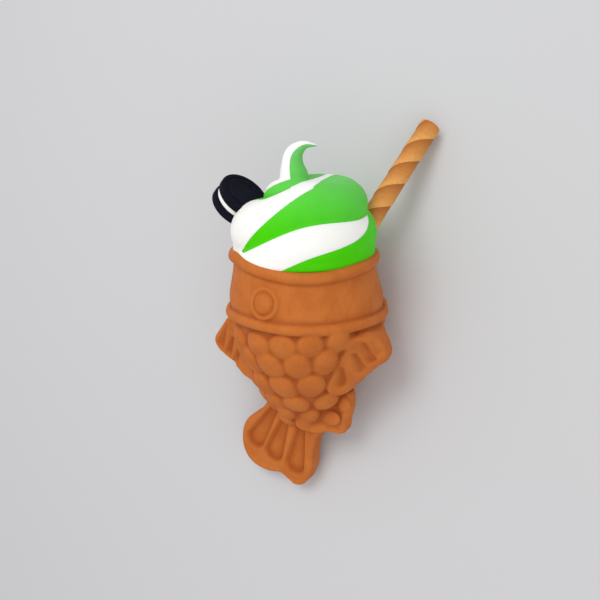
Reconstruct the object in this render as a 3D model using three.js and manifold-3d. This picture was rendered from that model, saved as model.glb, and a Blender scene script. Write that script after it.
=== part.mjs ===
// Taiyaki soft-serve cone: a fish-shaped waffle cake whose round open mouth holds
// a two-colour twist of soft ice cream, with a sandwich biscuit and a rolled wafer
// stuck in it. Units are millimetres.
//
// The pieces are worked out in an upright frame with the mouth up: +x is the belly
// side, -y is the shown flank, +z runs from the tail to the mouth, and the origin is
// the middle of the rim. The exported group then lies on its hidden flank: it rests
// on the collar, the tail and the tip of the rolled wafer, with +Y from tail to mouth.
import * as THREE from "three";
import { TessellateModifier } from "three/addons/modifiers/TessellateModifier.js";
import { mergeVertices } from "three/addons/utils/BufferGeometryUtils.js";
import Module from "manifold-3d";

const wasm = await Module();
wasm.setup();

const DEG = Math.PI / 180;
const TURN = 2 * Math.PI;

// Driving dimensions
const GAP = 0.3; // left between pieces that touch
const RIM_RADIUS = 40; // outside of the rolled lip
const COLLAR_HEIGHT = -31; // middle of the collar behind the head
const COLLAR_RADIUS = 43.4;
const BODY_END = -105; // where the body closes inside the root of the tail
const RECESS_DEPTH = 24; // how far the ice cream goes down into the mouth
const RECESS_RADIUS = 35.6;
const ROUND_SIDES = 38; // sides of the cake and its mouth
const FRONT = -58 * DEG; // heading about z that the swirl, biscuit and wafer are set from

// The floor under the lying piece: a plane that touches collar and tail.
const REST_TILT = 17.9 * DEG; // the tail end dips by this much
const REST_DEPTH = 49.3; // from the middle of the rim down to the floor

// ---------------------------------------------------------------- helpers

function toSolid(geometry) {
  const bare = new THREE.BufferGeometry();
  bare.setAttribute("position", geometry.getAttribute("position"));
  bare.setIndex(geometry.index);
  const merged = mergeVertices(bare, 1e-4);
  const corners = merged.index.array;
  const kept = [];
  for (let i = 0; i < corners.length; i += 3) {
    const [a, b, c] = corners.subarray(i, i + 3);
    if (a !== b && b !== c && c !== a) kept.push(a, b, c);
  }
  return new wasm.Manifold(
    new wasm.Mesh({
      numProp: 3,
      vertProperties: merged.attributes.position.array,
      triVerts: new Uint32Array(kept),
    }),
  );
}

function toGeometry(solid) {
  const mesh = solid.getMesh();
  const geometry = new THREE.BufferGeometry();
  geometry.setAttribute("position", new THREE.BufferAttribute(mesh.vertProperties, 3));
  geometry.setIndex(new THREE.BufferAttribute(mesh.triVerts, 1));
  geometry.computeVertexNormals();
  return geometry;
}

// The largest body of a solid, without crumbs that cutting left beside it.
function largest(solid) {
  return solid.decompose().reduce((best, body) => (body.volume() > best.volume() ? body : best));
}

// Faces thinner than this, in square millimetres, say nothing about which way they face.
const SLIVER = 0.025;
const MOST_TURN = 0.85; // least cosine between a face before and after a vertex moves
const MOST_PASSES = 12;

// A closed geometry with fewer triangles and nearly the same surface: vertices move onto
// a neighbour where no face round them shifts by more than the tolerance.
function thinned(geometry, tolerance) {
  const position = geometry.getAttribute("position");
  const points = Array.from({ length: position.count }, (_, i) =>
    new THREE.Vector3().fromBufferAttribute(position, i),
  );
  const shifted = points.map(() => 0);
  const around = points.map(() => new Set());
  for (let i = 0; i < geometry.index.count; i += 3) {
    const face = [0, 1, 2].map((k) => geometry.index.getX(i + k));
    face.forEach((v) => around[v].add(face));
  }
  const neighbours = (v) => new Set([...around[v]].flat().filter((w) => w !== v));
  const spanned = (face) => {
    const [a, b, c] = face.map((v) => points[v]);
    return b.clone().sub(a).cross(c.clone().sub(a));
  };

  // How far the surface has shifted once a vertex moves onto another, or Infinity.
  function shiftOf(from, to) {
    const beside = neighbours(to);
    const shared = [...neighbours(from)].filter((v) => beside.has(v));
    if (shared.length !== 2) return Infinity;
    const facing = [...around[from]].reduce((sum, face) => sum.add(spanned(face)), new THREE.Vector3());
    facing.normalize();
    const move = points[to].clone().sub(points[from]);
    let worst = 0;
    for (const face of around[from]) {
      const normal = spanned(face);
      const sliver = normal.length() < 2 * SLIVER;
      normal.normalize();
      if (!sliver) worst = Math.max(worst, Math.abs(normal.dot(move)));
      if (face.includes(to)) continue;
      const turned = spanned(face.map((v) => (v === from ? to : v))).normalize();
      const agrees = sliver ? turned.dot(facing) > 1 - MOST_TURN : turned.dot(normal) > MOST_TURN;
      if (!agrees) return Infinity;
    }
    return worst + shifted[from];
  }

  function merge(from, to) {
    for (const face of around[from]) {
      if (face.includes(to)) {
        face.filter((v) => v !== from).forEach((v) => around[v].delete(face));
      } else {
        face[face.indexOf(from)] = to;
        around[to].add(face);
      }
    }
    around[from].clear();
  }

  let merged = true;
  for (let pass = 0; merged && pass < MOST_PASSES; pass++) {
    merged = false;
    const edges = points.flatMap((point, v) =>
      [...neighbours(v)].map((w) => ({ v, w, length: point.distanceTo(points[w]) })),
    );
    edges.sort((one, other) => one.length - other.length);
    for (const { v, w } of edges) {
      if (!neighbours(v).has(w)) continue;
      const shift = shiftOf(v, w);
      if (shift > tolerance) continue;
      shifted[w] = Math.max(shifted[w], shift);
      merge(v, w);
      merged = true;
    }
  }
  const kept = new Set(around.flatMap((faces) => [...faces]));
  return fromCorners([...kept].flatMap((face) => face.map((v) => points[v])));
}

function union(solids) {
  return solids.reduce((whole, piece) => whole.add(piece));
}

// A solid of revolution about z from [radius, height] points, listed from the bottom up.
function turned(points, segments) {
  const profile = points.map(([radius, height]) => new THREE.Vector2(radius, height));
  return new THREE.LatheGeometry(profile, segments).rotateX(Math.PI / 2);
}

// Moves every vertex of a geometry to the point that place() gives for it.
function moved(geometry, place) {
  const position = geometry.getAttribute("position");
  for (let i = 0; i < position.count; i++) {
    const point = place(position.getX(i), position.getY(i), position.getZ(i));
    position.setXYZ(i, point.x, point.y, point.z);
  }
  return geometry;
}

// A geometry from triangles, given as one list of their corners.
function fromCorners(corners) {
  return new THREE.BufferGeometry().setFromPoints(corners);
}

// The triangles between two lists of as many points.
function band(under, over) {
  const corners = [];
  for (let j = 1; j < under.length; j++) {
    corners.push(under[j - 1], over[j - 1], over[j], under[j - 1], over[j], under[j]);
  }
  return corners;
}

// The triangles from one point to each side of a list of points.
function fan(point, others) {
  const corners = [];
  for (let j = 1; j < others.length; j++) corners.push(point, others[j - 1], others[j]);
  return corners;
}

// A closed skin over sections. Each is a list of as many points, going round clockwise
// as seen from the section after it.
function lofted(sections) {
  const corners = [];
  for (let i = 1; i < sections.length; i++) {
    const [under, over] = [sections[i - 1], sections[i]];
    corners.push(...band([...under, under[0]], [...over, over[0]]));
  }
  const [start, ...rest] = sections[0];
  const [end, ...others] = sections[sections.length - 1];
  corners.push(...fan(start, rest), ...fan(end, others.reverse()));
  return fromCorners(corners);
}

// Points round a circle of the xy plane, clockwise as seen from +z.
function circle(radius, sides) {
  return Array.from({ length: sides }, (_, k) =>
    new THREE.Vector2(radius, 0).rotateAround(new THREE.Vector2(), (-k / sides) * TURN),
  );
}

// Turns geometry made about z so that z points along axis, and moves it to centre.
function aimed(geometry, axis, centre) {
  const turn = new THREE.Quaternion().setFromUnitVectors(new THREE.Vector3(0, 0, 1), axis);
  return geometry.applyQuaternion(turn).translate(centre.x, centre.y, centre.z);
}

// A point given to the right of the FRONT heading, towards it, and up.
function fromFront(right, towards, up) {
  return new THREE.Vector3(
    towards * Math.cos(FRONT) - right * Math.sin(FRONT),
    towards * Math.sin(FRONT) + right * Math.cos(FRONT),
    up,
  );
}

// The value at x of a smooth curve through [x, value] pairs.
function along(pairs, x) {
  const last = pairs.length - 1;
  let i = 0;
  while (i < last - 1 && x > pairs[i + 1][0]) i++;
  const slope = (a, b) => (pairs[b][1] - pairs[a][1]) / (pairs[b][0] - pairs[a][0]);
  const width = pairs[i + 1][0] - pairs[i][0];
  const t = THREE.MathUtils.clamp((x - pairs[i][0]) / width, 0, 1);
  const start = slope(Math.max(i - 1, 0), i + 1) * width;
  const end = slope(i, Math.min(i + 2, last)) * width;
  const rise = pairs[i + 1][1] - pairs[i][1];
  return (
    pairs[i][1] +
    start * t +
    (3 * rise - 2 * start - end) * t ** 2 +
    (start + end - 2 * rise) * t ** 3
  );
}

// ---------------------------------------------------------------- the cake

const HEAD_TOP = 38.3; // wall radius under the lip
const HEAD_FOOT = 41.4; // wall radius above the collar

// Radius of the scaly body under the collar.
const BODY = [
  [BODY_END, 7],
  [-100, 12],
  [-94, 16],
  [-88, 20],
  [-82, 23.5],
  [-76, 27],
  [-64, 31],
  [-51, 35.5],
  [-36, 39.5],
];

// The body narrows from flank to flank towards the tail.
const FLANK_SQUEEZE = [
  [BODY_END, 0.72],
  [-80, 0.88],
  [-60, 1],
  [0, 1],
];

// The middle of the cake leans towards the belly by this much.
const BELLY_SHIFT = [
  [BODY_END, -1],
  [-80, 1],
  [-50, 2],
  [-31, 2],
  [-9, 0.3],
  [0, 0],
];

const bodyRadius = (z) => along(BODY, z);

// Gives a point of the round body its place on the squeezed and shifted one.
function shaped(x, y, z) {
  return new THREE.Vector3(x + along(BELLY_SHIFT, z), y * along(FLANK_SQUEEZE, z), z);
}

function bodyPoint(z, heading) {
  const radius = bodyRadius(z);
  return shaped(radius * Math.cos(heading), radius * Math.sin(heading), z);
}

function headAndBody() {
  const outside = [
    [0, BODY_END - 3],
    [bodyRadius(BODY_END) * 0.7, BODY_END - 2],
  ];
  for (const z of [BODY_END, -94, -80, -66, -50, -38]) {
    outside.push([bodyRadius(z), z]);
  }
  const collar = [
    [COLLAR_RADIUS - 2.6, COLLAR_HEIGHT - 3.9],
    [COLLAR_RADIUS - 0.5, COLLAR_HEIGHT - 2.4],
    [COLLAR_RADIUS, COLLAR_HEIGHT],
    [COLLAR_RADIUS - 0.6, COLLAR_HEIGHT + 2.2],
    [COLLAR_RADIUS - 2.4, COLLAR_HEIGHT + 3.4],
  ];
  const head = [
    [HEAD_FOOT - 0.1, -24],
    [HEAD_TOP + 1.5, -16],
    [HEAD_TOP, -9],
  ];
  const lip = [
    [RIM_RADIUS - 0.9, -7.6],
    [RIM_RADIUS + 0.3, -5.4],
    [RIM_RADIUS + 0.3, -2.6],
    [RIM_RADIUS - 0.9, -0.7],
    [RIM_RADIUS - 2.2, 0],
    [0, 0],
  ];
  const profile = [...outside, ...collar, ...head, ...lip];
  return toSolid(moved(turned(profile, ROUND_SIDES), shaped));
}

// Rows of scales, the same on both flanks: height at the middle of the flank, how much
// the row rises and the scales' headings, both in degrees from there to the belly.
const SCALE_ROWS = [
  { z: -42, rise: 0.06, length: 15.5, headings: [-80, -46, -11, 14.5, 34.5, 54, 72] },
  { z: -54, rise: 0.08, length: 18.5, headings: [-76, -42, -2.5, 25, 46, 66] },
  { z: -69.3, rise: 0.09, length: 18, headings: [-74, -38, 4.7, 36, 60, 80] },
  { z: -82.8, rise: 0.05, length: 17.5, headings: [-80, -36, 16.5, 56] },
  { z: -92, rise: 0, length: 16.5, headings: [-50, -6, 38, 76] },
  { z: -99, rise: 0, length: 16, headings: [-22, 33] },
];
const SCALE_WIDTH = 15.5; // at the middle of the flank
const SCALE_NARROWING = 0.05; // for each degree from there to the belly
const SCALE_STAND = 2.6; // how far a scale stands out of the body
const SCALE_ROOT = 1.5; // how far its edge is sunk into the body
const SCALE_LEAN = 8 * DEG; // its tail end stands out more than its head end

// A dome over an oval, standing on the xy plane.
function dome(width, length, height) {
  const ring = (share, up) =>
    circle(share, 8).map(({ x, y }) => new THREE.Vector3((x * width) / 2, (y * length) / 2, up));
  return lofted([ring(1, 0), ring(0.74, 0.72 * height), ring(0, height)]);
}

// Whether the belly fin covers a point of the body.
function underFin({ x, z }) {
  const { outline } = FINS.belly;
  let inside = false;
  outline.forEach(([x1, z1], i) => {
    const [x2, z2] = outline[(i + 1) % outline.length];
    if (z1 > z !== z2 > z && x < x1 + ((z - z1) / (z2 - z1)) * (x2 - x1)) inside = !inside;
  });
  return inside;
}

function scales() {
  const made = [];
  for (const row of SCALE_ROWS) {
    for (const aside of row.headings) {
      const heading = (aside - 90) * DEG;
      const z = row.z + row.rise * aside;
      const here = bodyPoint(z, heading);
      if (underFin(here)) continue;
      const above = bodyPoint(z + 3, heading);
      const beside = bodyPoint(z, heading + 3 * DEG);
      const up = above.sub(here).normalize();
      const out = beside.sub(here).normalize().cross(up).normalize();
      const side = new THREE.Vector3().crossVectors(up, out);
      const foot = here.addScaledVector(out, -SCALE_ROOT);
      const width = SCALE_WIDTH - SCALE_NARROWING * aside;
      const scale = dome(width, row.length, SCALE_STAND + SCALE_ROOT)
        .rotateX(SCALE_LEAN)
        .applyMatrix4(new THREE.Matrix4().makeBasis(side, up, out))
        .translate(foot.x, foot.y, foot.z);
      const solid = toSolid(scale);
      made.push(solid, solid.mirror([0, 1, 0]));
    }
  }
  return made;
}

// An eye: a raised ring round a low dome, on both flanks of the head.
const EYE_HEIGHT = -17.7;
const EYE_RADIUS = 8.6;
const EYE_SEAT = 38.4; // how far the flat of the eye is from the cake's axis

function eye(side) {
  const profile = [
    [0, -6],
    [EYE_RADIUS - 0.2, -6],
    [EYE_RADIUS, 1.6],
    [EYE_RADIUS - 0.6, 2.7],
    [EYE_RADIUS - 1.6, 2.8],
    [EYE_RADIUS - 2.4, 1.7],
    [EYE_RADIUS - 3.2, 2.8],
    [EYE_RADIUS - 5.4, 4],
    [0, 4.5],
  ];
  const centre = new THREE.Vector3(0, side * EYE_SEAT, EYE_HEIGHT);
  return toSolid(aimed(turned(profile, 20), new THREE.Vector3(0, side, 0), centre));
}

// Fins and tail are plates in the plane between the flanks, each drawn as
// [towards the belly, height] with rays sunk into both faces. A plate is thinnest at
// its tip and grows by flare for each millimetre from there towards the body. Where it
// has a value for over, it also stands out of the body by that much.
const FINS = {
  back: {
    half: 3.2,
    tip: -62,
    flare: 0.1,
    outline: [
      [-24, -40],
      [-44, -40],
      [-50, -46.5],
      [-57.2, -56.4],
      [-61.6, -62.5],
      [-61.6, -66.6],
      [-57.9, -71],
      [-51.2, -74],
      [-47.3, -76],
      [-43.2, -81.2],
      [-38, -85],
      [-30, -86],
      [-16, -82],
    ],
    rays: [
      { from: [-51.5, -53], to: [-56.6, -66.5], wide: 5 },
      { from: [-46.5, -60], to: [-50.2, -70], wide: 4.4 },
      { from: [-41.5, -65], to: [-44.8, -74.2], wide: 4.2 },
    ],
  },
  belly: {
    half: 3.2,
    tip: 55,
    flare: 0.36,
    over: 2.6,
    outline: [
      [41.5, -33.6],
      [47.4, -36.6],
      [50.2, -40.6],
      [52, -44.8],
      [52.3, -48.5],
      [50.6, -52.8],
      [47.6, -55.4],
      [41.2, -62],
      [36, -65.6],
      [33.2, -71],
      [30.2, -73.7],
      [27.4, -73.2],
      [25.8, -70],
      [26.2, -65],
      [28.6, -59.2],
      [31.4, -53.4],
      [33.8, -46.4],
      [37, -40.2],
    ],
    rays: [
      { from: [47, -38.6], to: [49.2, -46], wide: 4.2 },
      { from: [41.9, -41.5], to: [45, -50.6], wide: 4.4 },
      { from: [38.6, -47], to: [39.6, -57], wide: 5 },
      { from: [33.8, -57], to: [32.2, -66], wide: 5 },
    ],
  },
  vent: {
    half: 3,
    tip: 34,
    flare: 0.2,
    outline: [
      [8, -82],
      [24, -76],
      [31.5, -76],
      [32.6, -85],
      [30.6, -93],
      [29.6, -99.5],
      [27, -101.8],
      [20, -101.6],
      [12, -103.5],
      [2, -99],
    ],
    rays: [{ from: [19, -93.5], to: [27, -96.2], wide: 4.6 }],
  },
  tail: {
    half: 5.6,
    tip: 0,
    flare: 0,
    outline: [
      [-12, -91],
      [-21.5, -95],
      [-27.5, -102],
      [-36.5, -110],
      [-41, -118.5],
      [-41.6, -129],
      [-38.6, -136.5],
      [-33, -141.4],
      [-27, -143],
      [-21, -143],
      [-13.5, -141.4],
      [-8, -144],
      [-2.5, -145.8],
      [3.6, -142.5],
      [8.2, -132],
      [9, -121],
      [10.8, -111],
      [12, -99],
    ],
    rays: [
      { from: [-17.2, -99.5], to: [-30.4, -122.4], wide: 9 },
      { from: [-9.4, -104], to: [-17.2, -127.4], wide: 9 },
      { from: [1.6, -105], to: [-2.6, -130], wide: 8.8 },
    ],
  },
};
const RAY_DEPTH = 2;
const FIN_EDGE = 1.6; // rounding of the plates' edges
const FACE_BLEND = 9; // how gradually a plate's face leaves the body's curve
const CURVED_STEP = 5; // longest edge on a plate that follows the body
const CURVED_SPLITS = 12; // halvings allowed to get there

// A plate standing in the xz plane, half its thickness either side of it.
function standing(shape, half, edge, curveSegments) {
  const geometry = new THREE.ExtrudeGeometry(shape, {
    depth: 2 * (half - edge),
    steps: 1,
    bevelEnabled: edge > 0,
    bevelThickness: edge,
    bevelSize: edge,
    bevelOffset: -edge,
    bevelSegments: 1,
    curveSegments,
  });
  return toSolid(geometry.translate(0, 0, edge - half).rotateX(Math.PI / 2));
}

// The outline of one sunk ray, narrow at the body and broad at its outer end.
function raySlot(ray) {
  const start = new THREE.Vector2(...ray.from);
  const end = new THREE.Vector2(...ray.to);
  const heading = end.clone().sub(start).angle();
  const slot = new THREE.Shape();
  slot.absarc(start.x, start.y, ray.wide / 3, heading + Math.PI / 2, heading + 1.5 * Math.PI);
  slot.absarc(end.x, end.y, ray.wide / 2, heading - Math.PI / 2, heading + Math.PI / 2);
  return slot;
}

// How far a fin's face stands from the plane between the flanks.
function finFace({ half, tip, flare, over }, x, z) {
  const plate = half + flare * Math.abs(x - tip);
  if (!over) return plate;
  const radius = bodyRadius(z) + over;
  const aside = Math.min(Math.abs(x - along(BELLY_SHIFT, z)), radius);
  const body = Math.sqrt(radius ** 2 - aside ** 2) * along(FLANK_SQUEEZE, z);
  const near = Math.max(1 - Math.abs(plate - body) / FACE_BLEND, 0);
  return Math.max(plate, body) + (FACE_BLEND / 4) * near ** 2;
}

function fin(drawn) {
  const { half, outline, rays } = drawn;
  const [first, ...rest] = [...outline, outline[0]].map(([x, z]) => new THREE.Vector2(x, z));
  const shape = new THREE.Shape().moveTo(first.x, first.y);
  shape.splineThru(rest);
  let plate = standing(shape, half, FIN_EDGE, 2);
  for (const ray of rays) {
    const cutter = standing(raySlot(ray), RAY_DEPTH, 0, 4);
    plate = plate.subtract(cutter.translate([0, half, 0]));
    plate = plate.subtract(cutter.translate([0, -half, 0]));
  }
  const spread = (x, y, z) =>
    new THREE.Vector3(x, y + Math.sign(y) * (finFace(drawn, x, z) - half), z);
  let faces = toGeometry(plate);
  if (drawn.over) faces = new TessellateModifier(CURVED_STEP, CURVED_SPLITS).modify(faces);
  return toSolid(moved(faces, spread));
}

// Everything under the floor plane, to cut the flats that the cake rests on.
function belowFloor() {
  const reach = 400;
  const block = new THREE.BoxGeometry(reach, reach, reach).translate(0, 0, -reach / 2);
  const up = new THREE.Vector3(0, -Math.cos(REST_TILT), Math.sin(REST_TILT));
  return toSolid(aimed(block, up, up.clone().multiplyScalar(-REST_DEPTH)));
}

function cake() {
  const plates = Object.values(FINS).map(fin);
  const whole = union([headAndBody(), ...scales(), ...plates, eye(-1), eye(1)]);
  return largest(whole.subtract(mouthSpace(0)).subtract(belowFloor()));
}

// ---------------------------------------------------------------- the ice cream

// The space that the ice cream may fill: the mouth, less a gap all round, and all above it.
function mouthSpace(gap) {
  const reach = 90;
  const profile = [
    [0, gap - RECESS_DEPTH],
    [RECESS_RADIUS - 4 - gap, gap - RECESS_DEPTH],
    [RECESS_RADIUS - 1 - gap, 3 - RECESS_DEPTH],
    [RECESS_RADIUS - gap, -2.6],
    [RECESS_RADIUS + 0.7 - gap, gap - 0.7],
    [RIM_RADIUS - 2.2, gap],
    [reach, gap + 0.01],
    [reach, reach],
    [0, reach],
  ];
  return toSolid(turned(profile, ROUND_SIDES));
}

// The piped rope, every 60 degrees round from ROPE_START: its middle's distance from the
// axis and height, its radius, and the heading in its section where green turns white.
const ROPE = [
  { radius: 20, height: -12, thick: 13, edge: -110 },
  { radius: 22, height: -3, thick: 15.4, edge: -52 },
  { radius: 22, height: 8.5, thick: 17, edge: -10 },
  { radius: 21.5, height: 10, thick: 17, edge: 42 },
  { radius: 21, height: 10, thick: 17, edge: 105 },
  { radius: 21, height: 10, thick: 17, edge: 165 },
  { radius: 22, height: 9.5, thick: 16.5, edge: 228 },
  { radius: 22, height: 14, thick: 16.2, edge: 325 },
  { radius: 20, height: 27, thick: 13.8, edge: 401 },
  { radius: 21.2, height: 27, thick: 12.8, edge: 462 },
  { radius: 19, height: 27, thick: 12.4, edge: 520 },
  { radius: 15, height: 26.5, thick: 11.5, edge: 600 },
  { radius: 12, height: 27, thick: 10.5, edge: 720 },
  { radius: 10, height: 29, thick: 9.8, edge: 800 },
  { radius: 8, height: 31.5, thick: 8.6, edge: 850 },
  { radius: 6, height: 32, thick: 8, edge: 880 },
];
const ROPE_START = -120 * DEG; // from FRONT
const TURN_ROWS = 6; // rows of the table in one turn
const ROPE_END = ROPE.length - 1;
const ROW_LENGTH = 6; // least length of rope between two rows, along its middle
const ROPE_FADE = 1; // rows over which each end of the rope merges into the rest
const ROPE_STEPS = 4; // for each row
const ARC_STEPS = 8; // over the shown part of its section
const ROPE_FOOT = -75 * DEG; // heading in the lowest turn's section where it starts
const ROPE_CAP = 100 * DEG; // heading in the top turn's section where it ends
const SWIRL_BOTTOM = -15; // of the swirl above the part that fills the mouth
const SWIRL_TOP = 38;
const FILLED_TO = -1; // the ice cream fills the mouth up to here

// The green runs along the middle of the rope as a thin thread, and from there outwards
// between the two colour edges of each section, as far as that shows.
const THREAD_RADIUS = 2.2;
const PROUD = 1.25; // how far past the rope's surface the cut into colours goes
const BLADE = 0.15; // half the thickness of the green where it has no width
const NEARLY_SHOWN = 20 * DEG; // before and after it shows, so that it ends in a point

// The peak, from its foot to the curled tip: [to the right, height, radius].
const PEAK = [
  [-4.6, 31, 8.6],
  [-5.2, 38, 7.8],
  [-6, 45, 5.8],
  [-5.4, 50.8, 4.7],
  [-3, 54.2, 3.5],
  [0.8, 56.1, 1.9],
  [6.6, 55.7, 0.5],
];
const PEAK_STEPS = 12;
const PEAK_SIDES = 12;

const column = (rows, key) => rows.map((row, i) => [i, row[key]]);

// The rope's section at a row: its middle is [distance from the axis, height].
function ropeSection(row) {
  const value = (key) => along(column(ROPE, key), row);
  const middle = new THREE.Vector2(value("radius"), value("height"));
  return { middle, thick: value("thick"), edge: value("edge") * DEG };
}

function onSection(row, heading) {
  const { middle, thick } = ropeSection(row);
  return new THREE.Vector2(thick, 0).rotateAround(new THREE.Vector2(), heading).add(middle);
}

// Where the outsides of a turn and of the turn above it meet.
function crease(row) {
  const lower = ropeSection(row);
  const upper = ropeSection(row + TURN_ROWS);
  const apart = upper.middle.clone().sub(lower.middle);
  const distance = apart.length();
  const share = (lower.thick ** 2 - upper.thick ** 2 + distance ** 2) / (2 * distance);
  const aside = Math.sqrt(Math.max(lower.thick ** 2 - share ** 2, 0));
  apart.divideScalar(distance);
  return new THREE.Vector2(apart.y, -apart.x)
    .multiplyScalar(aside)
    .addScaledVector(apart, share)
    .add(lower.middle);
}

const fade = (row, from, to) => THREE.MathUtils.smoothstep(row, from, to);

// The upper and lower edges of the rope's shown side.
function highEdge(row) {
  const topTurn = ROPE_END - TURN_ROWS;
  if (row < ROPE_FADE) {
    return onSection(row + TURN_ROWS, ROPE_FOOT).lerp(crease(row), fade(row, 0, ROPE_FADE));
  }
  if (row < topTurn) {
    return crease(row).lerp(onSection(row, ROPE_CAP), fade(row, topTurn - ROPE_FADE, topTurn));
  }
  const end = fade(row, ROPE_END - ROPE_FADE, ROPE_END);
  const cap = onSection(row, ROPE_CAP);
  return end > 0 ? cap.lerp(highEdge(row - TURN_ROWS), end) : cap;
}

function lowEdge(row) {
  if (row >= TURN_ROWS) return highEdge(row - TURN_ROWS);
  return highEdge(row).lerp(onSection(row, ROPE_FOOT), fade(row, 0, ROPE_FADE));
}

// The shown side at a row, as headings and distances from the section's middle.
function shownArc(row) {
  const { middle } = ropeSection(row);
  const [low, high] = [lowEdge(row).sub(middle), highEdge(row).sub(middle)];
  const from = Math.atan2(low.y, low.x);
  const to = Math.atan2(high.y, high.x);
  return { from, to, near: low.length(), far: high.length() };
}

// A point of space from one of the half plane that a row's section lies in.
function inSpace(row, point) {
  const heading = FRONT + ROPE_START + (row / TURN_ROWS) * TURN;
  return new THREE.Vector3(point.x * Math.cos(heading), point.x * Math.sin(heading), point.y);
}

function atHeading(row, heading, distance) {
  const step = new THREE.Vector2(distance, 0).rotateAround(new THREE.Vector2(), heading);
  return inSpace(row, step.add(ropeSection(row).middle));
}

const { lerp } = THREE.MathUtils;
const rowsBetween = (first, last) =>
  Array.from({ length: (last - first) * ROPE_STEPS + 1 }, (_, i) => first + i / ROPE_STEPS);

// The swirl of the whole rope, with the peak on it and the part that fills the mouth.
function swirl() {
  const strips = rowsBetween(0, ROPE_END).map((row) => {
    const { from, to, near, far } = shownArc(row);
    return Array.from({ length: ARC_STEPS + 1 }, (_, j) => {
      const part = j / ARC_STEPS;
      return atHeading(row, lerp(from, to, part), lerp(near, far, part));
    });
  });
  const turnSteps = TURN_ROWS * ROPE_STEPS;
  const bottomRing = strips.slice(0, turnSteps + 1).map((strip) => strip[0]);
  const topRing = strips.slice(-turnSteps - 1).map((strip) => strip[ARC_STEPS]);
  const corners = strips.slice(1).flatMap((strip, i) => band(strips[i], strip));
  const bottom = new THREE.Vector3(0, 0, SWIRL_BOTTOM);
  const top = new THREE.Vector3(0, 0, SWIRL_TOP);
  corners.push(...fan(bottom, bottomRing.reverse()), ...fan(top, topRing));
  const filling = [
    [0, -RECESS_DEPTH],
    [RECESS_RADIUS, -RECESS_DEPTH],
    [RECESS_RADIUS, FILLED_TO],
    [0, FILLED_TO],
  ];
  return union([toSolid(fromCorners(corners)), toSolid(turned(filling, ROUND_SIDES)), peak(0)]);
}

// The peak, grown by a margin.
function peak(margin) {
  return toSolid(lofted(peakSections((thick) => circle(thick + margin, PEAK_SIDES), margin)));
}

// The peak's green right side: half of each section, past a line moved left by a margin.
function peakSide(margin) {
  const corners = [
    [-1, PROUD],
    [PROUD, PROUD],
    [PROUD, -PROUD],
    [-1, -PROUD],
  ];
  const part = (thick) =>
    corners.map(([across, deep]) =>
      new THREE.Vector2(Math.max(across * thick, -margin), deep * thick + Math.sign(deep)),
    );
  return peak(margin).intersect(toSolid(lofted(peakSections(part, margin))));
}

// Places sections along the peak, x to its right and y away. Its ends reach a margin past
// the peak's own.
function peakSections(outline, margin) {
  const last = PEAK.length - 1;
  return Array.from({ length: PEAK_STEPS + 1 }, (_, i) => {
    const row = (i / PEAK_STEPS) * last;
    const value = (key, at) => along(column(PEAK, key), at);
    const ahead = new THREE.Vector2(
      value(0, row + 0.05) - value(0, row - 0.05),
      value(1, row + 0.05) - value(1, row - 0.05),
    ).normalize();
    const past = margin * ((row === last) - (row === 0));
    return outline(value(2, row)).map(({ x, y }) =>
      fromFront(
        value(0, row) + x * ahead.y + past * ahead.x,
        -y,
        value(1, row) - x * ahead.x + past * ahead.y,
      ),
    );
  });
}

// The headings that the green shows between at a row. Where its half of the section is
// hidden, they have no width and swing back to where the next turn's green will show.
function greenAngles(row) {
  const { edge } = ropeSection(row);
  const shown = shownArc(row);
  const lead = THREE.MathUtils.euclideanModulo(edge - shown.from, TURN) + shown.from;
  const trail = lead - Math.PI;
  if (trail < shown.to) {
    return { from: Math.max(trail, shown.from), to: Math.min(lead, shown.to), shows: true };
  }
  const part = (trail - shown.to) / (Math.PI + shown.from - shown.to);
  const heading = lerp(shown.to, shown.from, part);
  const shows = trail - shown.to < NEARLY_SHOWN || shown.from + TURN - lead < NEARLY_SHOWN;
  return { from: heading, to: heading, shows };
}

// The green's section at a row, grown by a margin: the thread, and from there out past the
// rope's surface where the green shows.
function greenSection(row, margin) {
  const { middle, thick } = ropeSection(row);
  const { from, to, shows } = greenAngles(row);
  const side = THREAD_RADIUS + margin;
  const reach = shows ? PROUD * thick + margin : side;
  const beside = (heading, ahead, aside) => {
    const point = new THREE.Vector2(ahead, aside);
    return inSpace(row, point.rotateAround(new THREE.Vector2(), heading).add(middle));
  };
  const arc = [-1, -0.33, 0.33, 1].map((share) =>
    beside(lerp(from, to, (share + 1) / 2), reach, share * (BLADE + margin)),
  );
  return [beside((from + to) / 2, -side, 0), beside(from, 0, -side), ...arc, beside(to, 0, side)];
}

// All the green, grown by a margin: along the rope, in lengths shorter than a turn, and
// its side of the peak.
function greenShare(margin) {
  const beyond = margin / ROW_LENGTH;
  const lengths = [1, 5, 10].map((first, i, all) => {
    const rows = rowsBetween(first, all[i + 1] ?? ROPE_END);
    if (i === 0) rows.unshift(first - beyond);
    if (i === all.length - 1) rows.push(ROPE_END + beyond);
    return toSolid(lofted(rows.map((row) => greenSection(row, margin))));
  });
  return union([...lengths, peakSide(margin)]);
}

function iceCream() {
  const space = mouthSpace(GAP).subtract(biscuitPocket()).subtract(rollPocket());
  const whole = swirl().intersect(space);
  return {
    green: largest(whole.intersect(greenShare(0))),
    white: largest(whole.subtract(greenShare(GAP))),
  };
}

// ---------------------------------------------------------------- the biscuit

const BISCUIT = {
  radius: 13.4,
  wafer: 3.7, // each wafer's thickness
  cream: 2.6,
  creamRadius: 12.6,
  sides: 26,
  centre: fromFront(-34, -9, 25.8),
  axis: fromFront(0.55, 0.37, 0.75).normalize(),
};
const CREAM_HEIGHT = BISCUIT.cream / 2;

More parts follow.
